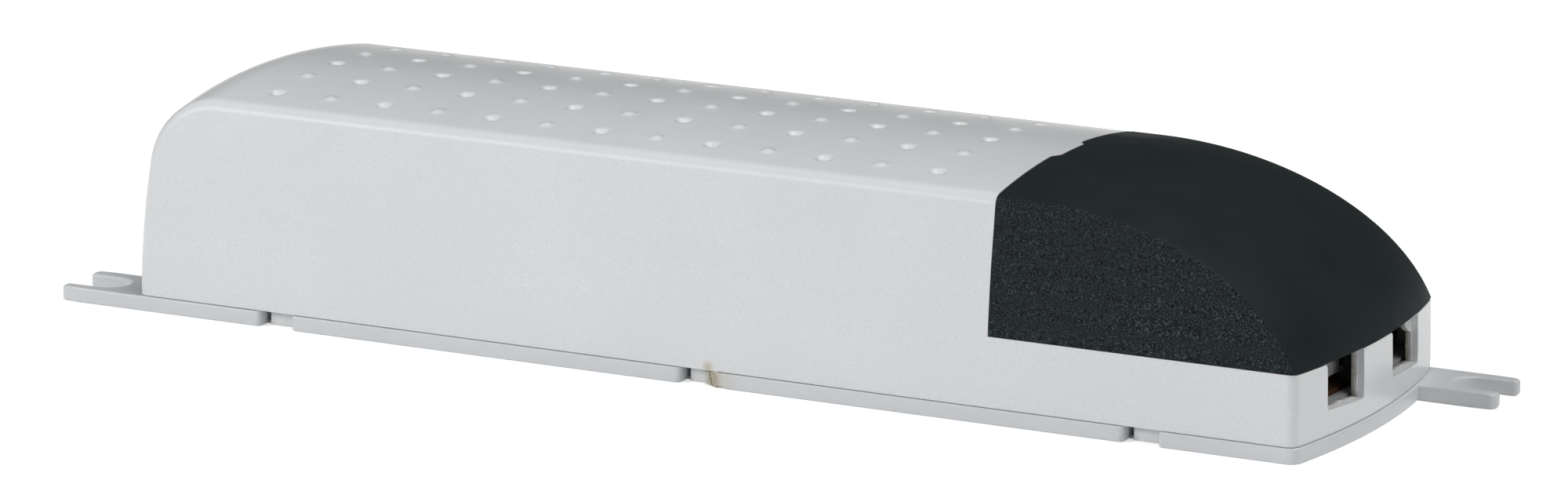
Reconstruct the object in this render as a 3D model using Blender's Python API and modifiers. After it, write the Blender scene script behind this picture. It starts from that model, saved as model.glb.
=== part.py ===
# Electronic transformer for low-voltage lamps: a snap-together moulded housing with a wiring bay
# under a dark cap, and the converter board inside it.
# Metres, +Z up. Origin in the middle of the underside, +X towards the wiring end, -Y is the front.

import math

import bmesh
import bpy
from mathutils import Matrix, Vector

MM = 0.001
SEAT_GAP = 0.3 * MM  # between pieces that rest on or in each other

# Housing: the top, the ends and the sides are all bowed
HEIGHT = 28.1 * MM
END_REACH = 76.9 * MM  # middle of each bowed end wall, at the foot
SIDE_REACH = 21.4 * MM  # each side wall, at the foot
CROWN_RADIUS = 112 * MM  # bow of the top across the width, and of the ends in plan
BARREL_RADIUS = 180 * MM  # bow of the side and end walls in height
HEEL_RADIUS = 9.3 * MM  # from the closed end wall into the top
HOUSING_WALL = 1.9 * MM
HOUSING_EDGE = 0.8 * MM
CROWN_STEPS = 12
HEEL_STEPS = 7

# Base plate
FLANGE_THICKNESS = 1.85 * MM
FLANGE_SIDE_REACH = SIDE_REACH + 0.25 * MM  # it stands out past the walls a little
FLANGE_END_REACH = END_REACH + 0.1 * MM
FLANGE_CORNER = 1.0 * MM
FLANGE_EDGE = 0.25 * MM
NOTCH_SPACING = 56.2 * MM
NOTCH_WIDTH = 4.3 * MM
NOTCH_DEPTH = 1.9 * MM
NOTCH_CORNER = 0.5 * MM
RIM_THICKNESS = 1.2 * MM
RIM_TOP = 4.6 * MM

# Fixing ears, one at each end on opposite sides
EAR_REACH = FLANGE_END_REACH + 8.8 * MM
EAR_WIDTH = 9.05 * MM
EAR_OUTER_ARM = 1.85 * MM
EAR_CORNER = 0.8 * MM
SLOT_WIDTH = 5.2 * MM
SLOT_BOTTOM = EAR_REACH - 6.6 * MM  # distance of the slot's round end from the middle

# Wiring bay and its cap
SEAM_X = END_REACH - 40.0 * MM
SEAM_GAP = 0.3 * MM
LOW_WALL_TOP = 10.2 * MM
CAP_WALL = 1.8 * MM
CAP_EDGE = 0.3 * MM
NOSE_LENGTH = 37.3 * MM  # half axes of the elliptic nose
NOSE_DROP = 23.4 * MM
NOSE_START = END_REACH + 1.0 * MM - NOSE_LENGTH
NOSE_STEPS = 14
TAB_REACH = 0.8 * MM  # pry tab on the cover's top edge
TAB_WIDTH = 6.5 * MM
TAB_SLOPE = 0.8 * MM
MAINS_ENTRY = (-14.3 * MM, -5.2 * MM)  # the sides of the two wire entries
LAMP_ENTRY = (3.5 * MM, 13.4 * MM)
ENTRY_SILL = 4.85 * MM
ENTRY_FALL = 0.5 * MM  # the sill is this much lower at its +Y end
ENTRY_CORNER = 0.5 * MM
ENTRY_WALL = 1.3 * MM  # the end wall is thinner round the entries
ENTRY_RECESS = 0.8 * MM  # from the outer face to the web of the knock-out
ENTRY_MARGIN = 1.5 * MM
TORN_EDGE = 0.1 * MM  # what is left of the web along a cleanly broken side
PARTITION_SETBACK = 1.5 * MM
PARTITION_THICKNESS = 2.0 * MM

# Dimples and pips on the top, on a square grid
GRID_PITCH = 7.25 * MM
GRID_ROWS = 5
GRID_START_X = 17.1 * MM - END_REACH
GRID_END_X = SEAM_X - 9.0 * MM
GRID_COLUMNS = 1 + int((GRID_END_X - GRID_START_X) / GRID_PITCH)
DIMPLE_RADIUS = 1.3 * MM
DIMPLE_DEPTH = 0.5 * MM
PIP_RADIUS = 0.95 * MM
PIP_HEIGHT = 0.35 * MM

# Snap legs of the cover in the flange notches, and snap arms of the cap
LEG_THICKNESS = 1.0 * MM
LEG_FOOT = 0.5 * MM
ARM_X = SEAM_X + 4.6 * MM
ARM_WIDTH = 6.0 * MM
ARM_THICKNESS = 1.5 * MM
ARM_FOOT = 5.6 * MM
ARM_RISE = 9.0 * MM  # from the lip to where the arm ends inside the cap
ARM_WEB_RISE = 4.0 * MM
BARB_HEIGHT = 1.6 * MM
LEDGE_BOTTOM = 7.9 * MM
LEDGE_HEIGHT = 1.3 * MM
LEDGE_REACH = 0.9 * MM
TONGUE_WIDTH = 6.0 * MM
TONGUE_THICKNESS = 1.4 * MM
TONGUE_FOOT = 5.6 * MM
TONGUE_RISE = 3.0 * MM

# Circuit board
BOARD_THICKNESS = 1.6 * MM
BOARD_TOP = 5.0 * MM
BOARD_HALF_LENGTH = END_REACH - HOUSING_WALL - RIM_THICKNESS - 2.5 * MM  # clear of the bowed ends
BOARD_HALF_WIDTH = SIDE_REACH - HOUSING_WALL - RIM_THICKNESS - 0.7 * MM
PILLAR_RADIUS = 2.2 * MM
PIN_RADIUS = 1.0 * MM
PILLAR_ROW = SIDE_REACH - 6.4 * MM
PILLAR_END = (10.9 * MM - END_REACH, SIDE_REACH - 9.4 * MM)
PILLAR_PLACES = (
    (PILLAR_END[0], -PILLAR_END[1]), PILLAR_END, (-2 * MM, -PILLAR_ROW), (30 * MM, PILLAR_ROW),
)

# Cable clamps
CLAMP_X = END_REACH - 7.4 * MM
CLAMP_WIDTH = 5.6 * MM
CLAMP_LENGTH = 15.8 * MM
CLAMP_BOTTOM = 6.3 * MM
CLAMP_HEIGHT = 4.2 * MM
CLAMP_SCREW_SPACING = 10.6 * MM
CLAMP_ARCH_WIDTH = 5.8 * MM
CLAMP_ARCH_HEIGHT = 1.1 * MM
BOSS_RADIUS = 1.9 * MM
SCREW_RADIUS = 1.25 * MM
SCREW_HEAD_RADIUS = 2.0 * MM
SCREW_HEAD_HEIGHT = 1.3 * MM
SCREW_SLOT = 0.6 * MM

# Terminal blocks
TERMINAL_X = END_REACH - 25.9 * MM
TERMINAL_DEPTH = 11.0 * MM
TERMINAL_HEIGHT = 12.5 * MM
TERMINAL_PITCH = 7.0 * MM
TERMINAL_WALL = 1.0 * MM
CAGE_SIZE = 4.4 * MM
CAGE_HEIGHT = 5.6 * MM
CAGE_FLOOR = 0.6 * MM
CAGE_HOLE = 3.0 * MM
CAGE_BOTTOM = 1.2 * MM  # above the underside of the block
TERMINAL_SCREW_RADIUS = 1.1 * MM
TERMINAL_HEAD_RADIUS = 1.7 * MM
TERMINAL_HEAD_RISE = 1.2 * MM  # of the open screw's head above its cage

# Parts on the board: places, and radius, length and lead spacing, or width, depth and height
DECK = BOARD_TOP + SEAT_GAP  # underside of every part that stands on the board
LEAD_RADIUS = 0.35 * MM
BODY_LIFT = 0.6 * MM  # of a lying part's body above the board
DISC_LIFT = 1.5 * MM
FUSE_PLACE = (12 * MM, -13.2 * MM)
FUSE_SIZE = (2.6 * MM, 15 * MM, 20 * MM)
VARISTOR_PLACE = (29.5 * MM, -13.2 * MM)
VARISTOR_RADIUS = 4.5 * MM
VARISTOR_THICKNESS = 3.6 * MM
SUPPRESSOR_PLACE = (-8 * MM, -13 * MM)
SUPPRESSOR_SIZE = (17 * MM, 7.5 * MM, 14 * MM)
DIODE_START = (-31 * MM, -12 * MM)
DIODE_PITCH = 4 * MM
DIODE_SIZE = (1.5 * MM, 5 * MM, 9 * MM)
BRIDGE_X = -42 * MM
BRIDGE_CAPACITOR_ROWS = (-14 * MM, -7.2 * MM)
BRIDGE_CAPACITOR_SIZE = (16 * MM, 5.5 * MM, 12 * MM)
CASE_EDGE = 0.5 * MM
START_RESISTOR_Y = -1.5 * MM
START_RESISTOR_SIZE = (1.2 * MM, 6.5 * MM, 10 * MM)
BASE_RESISTOR_ROWS = (2 * MM, 5 * MM)
BASE_RESISTOR_SIZE = (1.0 * MM, 6.0 * MM, 10 * MM)
TRIGGER_DIODE_PLACE = (-34.2 * MM, 1.5 * MM)
TRIGGER_DIODE_SIZE = (0.9 * MM, 3.6 * MM, 7.5 * MM)
START_CAPACITOR_PLACE = (-67.5 * MM, 5 * MM)
START_CAPACITOR_RADIUS = 3.0 * MM
START_CAPACITOR_THICKNESS = 2.4 * MM

# Ring cores: the line choke has two windings, the drive transformer one
WINDING_BUILD = 1.0 * MM
CHOKE_CENTRE = (-22 * MM, 3.5 * MM)
CHOKE_OUTER = 8.5 * MM
CHOKE_INNER = 4.5 * MM
CHOKE_HEIGHT = 6.0 * MM
DRIVE_CENTRE = (-58 * MM, 0)
DRIVE_OUTER = 5.5 * MM
DRIVE_INNER = 3.0 * MM
DRIVE_HEIGHT = 4.0 * MM
CORE_EDGE = 0.4 * MM

# Output transformer: an E core pair lying flat, its legs along X, on a two-chamber bobbin
CORE_X = 9 * MM
CORE_Y = 4.3 * MM
CORE_WIDTH = 25 * MM
CORE_HALF_LENGTH = 12.4 * MM
CORE_HEIGHT = 7.4 * MM
CORE_YOKE = 3.6 * MM
CORE_OUTER_LEG = 3.6 * MM
CORE_MIDDLE_LEG = 7.4 * MM
BOBBIN_WALL = 0.8 * MM
BOBBIN_LENGTH = 17.0 * MM
BOBBIN_FLANGE = 0.9 * MM
BOBBIN_FLANGE_DROP = 4.2 * MM
PRIMARY_CHAMBER = 10.5 * MM  # from the end of the bobbin to the flange between the windings
PRIMARY_TURNS = 9
SECONDARY_TURNS = 3
WINDING_THICKNESS = 2.6 * MM

# Power stage: two transistors clipped to an upright aluminium spreader along the back
SPREADER_Y = 14.6 * MM
SPREADER_THICKNESS = 1.5 * MM
SPREADER_START = -62 * MM
SPREADER_END = -34 * MM
SPREADER_TOP = 22.5 * MM
TRANSISTOR_PLACES = (-56 * MM, -40 * MM)
TRANSISTOR_WIDTH = 10.0 * MM
TRANSISTOR_DEPTH = 4.5 * MM
TRANSISTOR_SLOPE = 0.5 * MM
TRANSISTOR_LEG_PITCH = 2.54 * MM
TRANSISTOR_LEG_SETBACK = 2.6 * MM
BODY_HEIGHT = 9.0 * MM
TAB_THICKNESS = 1.3 * MM
TAB_HEIGHT = 15.3 * MM
TAB_HOLE_RADIUS = 1.8 * MM
TAB_HOLE_HEIGHT = 12.0 * MM
LEAD_RISE = 3.5 * MM
CLIP_THICKNESS = 0.8 * MM
CLIP_WIDTH = 4.0 * MM
CLIP_BOW = 0.6 * MM
CLIP_TOE = 1.5 * MM

ROUND_SIDES = 16
SCREW_SIDES = 12
SMALL_SIDES = 10
WIRE_SIDES = 6
RING_SIDES = 24
BELOW = -4 * MM  # blanks reach this far below the floor, and are cut off above it
FAR = 100 * MM  # past every piece

ENTRIES = {"mains": MAINS_ENTRY, "lamp": LAMP_ENTRY}
BAY_CENTRES = {name: sum(sides) / 2 for name, sides in ENTRIES.items()}
# What the knock-outs left: how far it rises over the sill, evenly spaced, and up the +Y side,
# as (distance in, height) pairs
SILL_REMNANTS = {
    "mains": (0.0, 0.2 * MM, 0.4 * MM, 0.3 * MM, 0.05 * MM),
    "lamp": (0.2 * MM, 0.35 * MM, 0.4 * MM, 0.3 * MM, 0.05 * MM),
}
SIDE_REMNANTS = {
    "mains": ((0.5 * MM, 6.5 * MM), (0.4 * MM, 8.5 * MM)),
    "lamp": ((0.2 * MM, 6.4 * MM), (0.1 * MM, 7.9 * MM), (1.4 * MM, 8.4 * MM), (2.4 * MM, 8.9 * MM),
             (2.8 * MM, 9.8 * MM)),
}

FINISHES = {
    "housing_plastic": ((0.66, 0.67, 0.68, 1), 0.5, 0),
    "base_plastic": ((0.6, 0.62, 0.63, 1), 0.5, 0),
    "cap_plastic": ((0.022, 0.028, 0.03, 1), 0.55, 0),
    "board_laminate": ((0.16, 0.075, 0.03, 1), 0.55, 0),
    "terminal_plastic": ((0.55, 0.57, 0.57, 1), 0.5, 0),
    "clamp_plastic": ((0.6, 0.62, 0.61, 1), 0.5, 0),
    "brass": ((0.72, 0.5, 0.18, 1), 0.3, 1),
    "zinc_steel": ((0.62, 0.63, 0.64, 1), 0.35, 1),
    "aluminium": ((0.75, 0.76, 0.77, 1), 0.4, 1),
    "copper_wire": ((0.62, 0.24, 0.08, 1), 0.35, 1),
    "ferrite": ((0.05, 0.048, 0.05, 1), 0.6, 0),
    "coated_core": ((0.1, 0.28, 0.13, 1), 0.45, 0),
    "bobbin_plastic": ((0.03, 0.03, 0.032, 1), 0.5, 0),
    "secondary_sleeve": ((0.55, 0.05, 0.03, 1), 0.45, 0),
    "epoxy_black": ((0.02, 0.02, 0.022, 1), 0.45, 0),
    "film_yellow": ((0.62, 0.42, 0.05, 1), 0.4, 0),
    "film_red": ((0.4, 0.05, 0.03, 1), 0.35, 0),
    "varistor_blue": ((0.05, 0.12, 0.4, 1), 0.4, 0),
    "resistor_tan": ((0.55, 0.4, 0.24, 1), 0.5, 0),
    "fuse_ceramic": ((0.7, 0.68, 0.62, 1), 0.5, 0),
}


def start_scene():
    for old in list(bpy.data.objects):
        bpy.data.objects.remove(old)
    for name in ("electronic_transformer", "cutters"):
        collection = bpy.data.collections.new(name)
        bpy.context.scene.collection.children.link(collection)
    bpy.data.collections["cutters"].hide_render = True


def finish_material(name):
    made = bpy.data.materials.get(name)
    if made:
        return made
    colour, roughness, metallic = FINISHES[name]
    made = bpy.data.materials.new(name)
    made.use_nodes = True
    shader = made.node_tree.nodes["Principled BSDF"]
    shader.inputs["Base Color"].default_value = colour
    shader.inputs["Roughness"].default_value = roughness
    shader.inputs["Metallic"].default_value = metallic
    made.diffuse_color = colour
    return made


def add_object(name, bm, finish=None):
    """Put a finished mesh in the parts collection, or in the cutters when it has no finish."""
    bmesh.ops.recalc_face_normals(bm, faces=bm.faces)
    mesh = bpy.data.meshes.new(name)
    bm.to_mesh(mesh)
    bm.free()
    made = bpy.data.objects.new(name, mesh)
    if finish:
        bpy.data.collections["electronic_transformer"].objects.link(made)
        mesh.materials.append(finish_material(finish))
        mesh.shade_smooth()
        mesh.set_sharp_from_angle(angle=math.radians(35))
    else:
        bpy.data.collections["cutters"].objects.link(made)
        made.hide_render = True
        made.display_type = "WIRE"
    return made


def block(name, low, high, finish=None, edge=0):
    bm = bmesh.new()
    bmesh.ops.create_cube(bm, size=1)
    size = Vector(high) - Vector(low)
    bmesh.ops.scale(bm, vec=size, verts=bm.verts)
    bmesh.ops.translate(bm, vec=(Vector(high) + Vector(low)) / 2, verts=bm.verts)
    made = add_object(name, bm, finish)
    if edge:
        round_edges(made, edge)
    return made


def rod(name, radius, start, end, finish=None, sides=SMALL_SIDES):
    start, end = Vector(start), Vector(end)
    run = end - start
    bm = bmesh.new()
    turn = run.to_track_quat("Z", "Y").to_matrix().to_4x4()
    bmesh.ops.create_cone(
        bm, cap_ends=True, segments=sides, radius1=radius, radius2=radius, depth=run.length,
        matrix=Matrix.Translation((start + end) / 2) @ turn,
    )
    return add_object(name, bm, finish)


def prism(name, outline, axis, low, high, finish=None):
    """Extrude a flat outline. Its points are (x, y) for axis Z, (x, z) for Y and (y, z) for X."""
    place = {
        "Z": lambda u, v: (u, v, low),
        "Y": lambda u, v: (u, low, v),
        "X": lambda u, v: (low, u, v),
    }[axis]
    run = Vector([high - low if axis == way else 0 for way in "XYZ"])
    bm = bmesh.new()
    face = bm.faces.new([bm.verts.new(place(u, v)) for u, v in outline])
    grown = bmesh.ops.extrude_face_region(bm, geom=[face])
    moved = [item for item in grown["geom"] if isinstance(item, bmesh.types.BMVert)]
    bmesh.ops.translate(bm, vec=run, verts=moved)
    return add_object(name, bm, finish)


def loft(name, sections, finish=None):
    """Join closed sections of equally many points into one solid with flat ends."""
    bm = bmesh.new()
    rings = [[bm.verts.new(point) for point in section] for section in sections]
    count = len(rings[0])
    for ring, following in zip(rings, rings[1:]):
        for i in range(count):
            j = (i + 1) % count
            bm.faces.new((ring[i], ring[j], following[j], following[i]))
    bm.faces.new(rings[0])
    bm.faces.new(rings[-1])
    return add_object(name, bm, finish)


def wire(name, points, radius, finish=None):
    """A wire of round section through the points, made a mesh so that it can be joined."""
    curve = bpy.data.curves.new(name, "CURVE")
    curve.dimensions = "3D"
    curve.bevel_depth = radius
    curve.bevel_resolution = 1
    curve.use_fill_caps = True
    spline = curve.splines.new("POLY")
    spline.points.add(len(points) - 1)
    for point, place in zip(spline.points, points):
        point.co = (*place, 1)
    guide = bpy.data.objects.new(name + "_path", curve)
    bpy.context.scene.collection.objects.link(guide)
    graph = bpy.context.evaluated_depsgraph_get()
    mesh = bpy.data.meshes.new_from_object(guide.evaluated_get(graph))
    bpy.data.objects.remove(guide)
    bm = bmesh.new()
    bm.from_mesh(mesh)
    bmesh.ops.remove_doubles(bm, verts=bm.verts, dist=0.001 * MM)
    return add_object(name, bm, finish)


def boolean(target, operation, tools):
    for tool in tools:
        step = target.modifiers.new(tool.name, "BOOLEAN")
        step.operation = operation
        step.object = tool
        for held in list(tool.users_collection):
            held.objects.unlink(tool)
        bpy.data.collections["cutters"].objects.link(tool)
        tool.hide_render = True
        tool.display_type = "WIRE"
    return target


def cut(target, *tools):
    return boolean(target, "DIFFERENCE", tools)


def join(target, *tools):
    return boolean(target, "UNION", tools)


def keep(target, *tools):
    return boolean(target, "INTERSECT", tools)


def round_edges(target, width, segments=1, angle=40):
    step = target.modifiers.new("edges", "BEVEL")
    step.width = width
    step.segments = segments
    step.limit_method = "ANGLE"
    step.angle_limit = math.radians(angle)
    return target


def arc(centre, radius, start, end, steps):
    """Points on an arc, angles in degrees."""
    turns = [math.radians(start + (end - start) * i / steps) for i in range(steps + 1)]
    return [(centre[0] + radius * math.cos(a), centre[1] + radius * math.sin(a)) for a in turns]


def sag(across):
    """How far the crown has fallen at a distance from the middle."""
    return CROWN_RADIUS - math.sqrt(CROWN_RADIUS**2 - across**2)


def barrel(height):
    """How far a wall has leant in at a height above the foot of the cover."""
    return max(height - FLANGE_THICKNESS, 0) ** 2 / (2 * BARREL_RADIUS)


def lean(height):
    return max(height - FLANGE_THICKNESS, 0) / BARREL_RADIUS


def heel_profile():
    """(x, z, normal x, normal z) from below the closed end up over the heel to the top."""
    centre_z = HEIGHT - HEEL_RADIUS
    turn = (centre_z - FLANGE_THICKNESS) / (BARREL_RADIUS - HEEL_RADIUS)
    tangent_z = centre_z + HEEL_RADIUS * math.sin(turn)
    centre_x = -(END_REACH - barrel(tangent_z)) + HEEL_RADIUS * math.cos(turn)
    points = [(-END_REACH, BELOW, -1, 0)]
    wall_steps = 4
    for i in range(wall_steps):
        z = FLANGE_THICKNESS + (tangent_z - FLANGE_THICKNESS) * i / wall_steps
        points.append((-(END_REACH - barrel(z)), z, -math.cos(lean(z)), math.sin(lean(z))))
    for i in range(HEEL_STEPS + 1):
        a = turn + (math.pi / 2 - turn) * i / HEEL_STEPS
        points.append(
            (centre_x - HEEL_RADIUS * math.cos(a), centre_z + HEEL_RADIUS * math.sin(a),
             -math.cos(a), math.sin(a))
        )
    return points


def cover_profile():
    # Between the top and the end wall the line runs through the space that the cap fills.
    top_end = (SEAM_X + END_REACH) / 2
    return heel_profile() + [
        (top_end, HEIGHT, 0, 1),
        (END_REACH - barrel(LOW_WALL_TOP), (LOW_WALL_TOP + HEIGHT) / 2, 1, 0),
        (END_REACH - barrel(LOW_WALL_TOP), LOW_WALL_TOP, 1, 0),
        (END_REACH, FLANGE_THICKNESS, 1, 0),
        (END_REACH, BELOW, 1, 0),
    ]


def nose_profile():
    """The top line of the cap from behind the seam, over the elliptic nose, to below the lip."""
    centre_z = HEIGHT - NOSE_DROP
    behind = SEAM_X - 8 * MM
    points = [(behind, LOW_WALL_TOP - 4 * MM, -1, 0), (behind, HEIGHT, 0, 1)]
    for i in range(NOSE_STEPS + 1):
        a = math.radians(88) * i / NOSE_STEPS
        across, up = math.sin(a) / NOSE_LENGTH, math.cos(a) / NOSE_DROP
        size = math.hypot(across, up)
        points.append(
            (NOSE_START + NOSE_LENGTH * math.sin(a), centre_z + NOSE_DROP * math.cos(a),
             across / size, up / size)
        )
    return points


def crowned(name, profile, inset, half_span=24 * MM):
    """Sweep a lengthwise profile across the width, each point sinking along its normal by the crown."""
    sections = []
    for i in range(CROWN_STEPS + 1):
        y = half_span * (2 * i / CROWN_STEPS - 1)
        sink = sag(y) + inset
        sections.append([(x - nx * sink, y, z - nz * sink) for x, z, nx, nz in profile])
    return loft(name, sections)


def side_section(name, inset):
    """The bowed side walls as a block along the whole length."""
    top = HEIGHT + 6 * MM
    steps = 6
    side = [(SIDE_REACH - inset, BELOW - MM)]
    for i in range(steps + 1):
        z = FLANGE_THICKNESS + (top - FLANGE_THICKNESS) * i / steps
        side.append((SIDE_REACH - inset - barrel(z), z))
    outline = side + [(-y, z) for y, z in reversed(side)]
    return prism(name, outline, "X", -END_REACH - 5 * MM, END_REACH + 5 * MM)


def housing_blank(name, profile, inset, finish=None, edge=0):
    blank = keep(crowned(name, profile, inset), side_section(name + "_sides", inset))
    if finish:
        bpy.data.collections["cutters"].objects.unlink(blank)
        bpy.data.collections["electronic_transformer"].objects.link(blank)
        blank.hide_render = False
        blank.display_type = "TEXTURED"
        blank.data.materials.append(finish_material(finish))
        blank.data.shade_smooth()
        blank.data.set_sharp_from_angle(angle=math.radians(35))
    if edge:
        round_edges(blank, edge, segments=2)
    return blank


def bay_region(name, seam, bottom):
    """The space of the cap: past the seam, with the pry tab's outline, and above the low walls."""
    half_tab = TAB_WIDTH / 2
    far_x, far_y = END_REACH + 6 * MM, SIDE_REACH + 6 * MM
    outline = [
        (seam, -far_y),
        (seam, -half_tab - TAB_SLOPE),
        (seam + TAB_REACH, -half_tab),
        (seam + TAB_REACH, half_tab),
        (seam, half_tab + TAB_SLOPE),
        (seam, far_y),
        (far_x, far_y),
        (far_x, -far_y),
    ]
    return prism(name, outline, "Z", bottom, HEIGHT + 10 * MM)


def entry_outline(name, torn):
    """A wire entry, open at the top. The torn one follows what the knock-out left behind."""
    start, end = ENTRIES[name]
    corner, top = ENTRY_CORNER, LOW_WALL_TOP + MM
    if torn:
        start, end = start + TORN_EDGE, end - TORN_EDGE

    def sill(y):
        return ENTRY_SILL - ENTRY_FALL * (y - start) / (end - start)

    shoulder = LOW_WALL_TOP - corner
    points = [(start - corner, top), (start - corner, LOW_WALL_TOP), (start, shoulder)]
    if not torn:
        return points + [(start, sill(start) + corner), (start + corner, sill(start)),
                         (end - corner, sill(end)), (end, sill(end) + corner), (end, top)]
    rises = SILL_REMNANTS[name]
    for i, rise in enumerate(rises):
        y = start + (end - start) * i / (len(rises) - 1)
        points.append((y, sill(y) + rise))
    points += [(end - inset, z) for inset, z in SIDE_REMNANTS[name]]
    return points + [(points[-1][0], top)]


def cut_entries(cover):
    """Each entry is a clean recess in a thinned stretch of the end wall, and through its web goes
    the torn outline of the knock-out."""
    inside = END_REACH - 6 * MM
    for name, (start, end) in ENTRIES.items():
        thinned = housing_blank(name + "_thinned", cover_profile(), ENTRY_WALL)
        keep(thinned, block(
            name + "_margin",
            (inside, start - ENTRY_MARGIN, ENTRY_SILL - ENTRY_FALL - ENTRY_MARGIN),
            (END_REACH, end + ENTRY_MARGIN, LOW_WALL_TOP + MM),
        ))
        recess = prism(name + "_entry", entry_outline(name, False), "X", inside, END_REACH + MM)
        cut(recess, housing_blank(name + "_web", cover_profile(), ENTRY_RECESS))
        knock_out = prism(name + "_knock_out", entry_outline(name, True), "X", inside - MM,
                          END_REACH + 2 * MM)
        cut(cover, thinned, recess, knock_out)


def stud_grid(name, wanted, radius, half_height, level):
    """Flattened balls on the chosen places of the grid, centred at a level above the crowned top."""
    bm = bmesh.new()
    for column in range(GRID_COLUMNS):
        for row in range(GRID_ROWS):
            if (column + row) % 2 != wanted:
                continue
            y = (row - (GRID_ROWS - 1) / 2) * GRID_PITCH
            tilt = math.asin(y / CROWN_RADIUS)
            centre = Vector((
                GRID_START_X + column * GRID_PITCH,
                (CROWN_RADIUS + level) * math.sin(tilt),
                HEIGHT - CROWN_RADIUS + (CROWN_RADIUS + level) * math.cos(tilt),
            ))
            squash = Matrix.Diagonal((1, 1, half_height / radius, 1))
            bmesh.ops.create_uvsphere(
                bm, u_segments=10, v_segments=4, radius=radius,
                matrix=Matrix.Translation(centre) @ Matrix.Rotation(-tilt, 4, "X") @ squash,
            )
    return add_object(name, bm)


def notch_places():
    return [NOTCH_SPACING * i for i in (-1, 0, 1)]


def make_cover():
    cover = housing_blank("top_cover", cover_profile(), 0, "housing_plastic", HOUSING_EDGE)
    cut(cover, housing_blank("cover_hollow", cover_profile(), HOUSING_WALL))
    foot = FLANGE_THICKNESS + SEAT_GAP
    cut(cover, block("cover_foot", (-FAR, -FAR, 2 * BELOW), (FAR, FAR, foot)))

    partition = housing_blank("partition", cover_profile(), HOUSING_WALL / 2)
    face = SEAM_X - PARTITION_SETBACK
    keep(partition, block("partition_span", (face - PARTITION_THICKNESS, -FAR, DECK),
                          (face, FAR, FAR)))
    join(cover, partition)

    for side in (-1, 1):
        inner = SIDE_REACH - HOUSING_WALL
        ends = sorted((side * (inner - LEDGE_REACH), side * (inner + HOUSING_WALL / 2)))
        join(cover, block(
            f"ledge_{side}",
            (ARM_X - ARM_WIDTH / 2 - MM, ends[0], LEDGE_BOTTOM),
            (ARM_X + ARM_WIDTH / 2 + MM, ends[1], LEDGE_BOTTOM + LEDGE_HEIGHT),
        ))
        for i, x in enumerate(notch_places()):
            # A leg fills the half of its notch towards +X at the front and -X at the back.
            reach = NOTCH_WIDTH / 2 - SEAT_GAP
            xs = sorted((x, x - side * reach))
            back = FLANGE_SIDE_REACH - NOTCH_DEPTH + SEAT_GAP
            ys = sorted((side * back, side * (back + LEG_THICKNESS)))
            join(cover, block(f"leg_{side}_{i}", (xs[0], ys[0], LEG_FOOT), (xs[1], ys[1], foot + MM)))

    cut(cover, bay_region("bay_space", SEAM_X - SEAM_GAP / 2, LOW_WALL_TOP))
    cut_entries(cover)
    pip_half_height = PIP_HEIGHT + 0.15 * MM
    join(cover, stud_grid("pips", 1, PIP_RADIUS, pip_half_height, -0.15 * MM))
    dimple_half_height = DIMPLE_DEPTH + 0.1 * MM
    cut(cover, stud_grid("dimples", 0, DIMPLE_RADIUS, dimple_half_height, 0.1 * MM))
    return cover


def make_cap():
    cap = housing_blank("terminal_cap", nose_profile(), 0, "cap_plastic", CAP_EDGE)
    cut(cap, housing_blank("cap_hollow", nose_profile(), CAP_WALL))
    lip = LOW_WALL_TOP + SEAM_GAP
    keep(cap, bay_region("cap_space", SEAM_X + SEAM_GAP / 2, lip))
    arm_face = SIDE_REACH - HOUSING_WALL - LEDGE_REACH - SEAT_GAP
    arm_core = arm_face - ARM_THICKNESS / 2
    cheek = SIDE_REACH - barrel(lip + ARM_RISE) - CAP_WALL / 2
    left, right = ARM_X - ARM_WIDTH / 2, ARM_X + ARM_WIDTH / 2
    barb_top = LEDGE_BOTTOM - SEAT_GAP
    for side in (-1, 1):
        near, far = sorted((side * arm_face, side * (arm_face - ARM_THICKNESS)))
        arm = block(f"arm_{side}", (left, near, ARM_FOOT), (right, far, lip + ARM_RISE))
        barb = prism(
            f"barb_{side}",
            [(side * arm_core, barb_top - BARB_HEIGHT), (side * arm_face, barb_top - BARB_HEIGHT),
             (side * (arm_face + LEDGE_REACH), barb_top), (side * arm_core, barb_top)],
            "X", left, right,
        )
        # A web ties the arm to the cheek, which leans in above it.
        near, far = sorted((side * arm_core, side * cheek))
        web = block(f"arm_web_{side}", (left, near, lip + ARM_WEB_RISE), (right, far, lip + ARM_RISE))
        join(cap, arm, barb, web)
    tongue_face = END_REACH - HOUSING_WALL - SEAT_GAP - barrel(LOW_WALL_TOP)
    join(cap, block(
        "tongue",
        (tongue_face - TONGUE_THICKNESS, -TONGUE_WIDTH / 2, TONGUE_FOOT),
        (tongue_face, TONGUE_WIDTH / 2, lip + TONGUE_RISE),
    ))
    return cap


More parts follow.
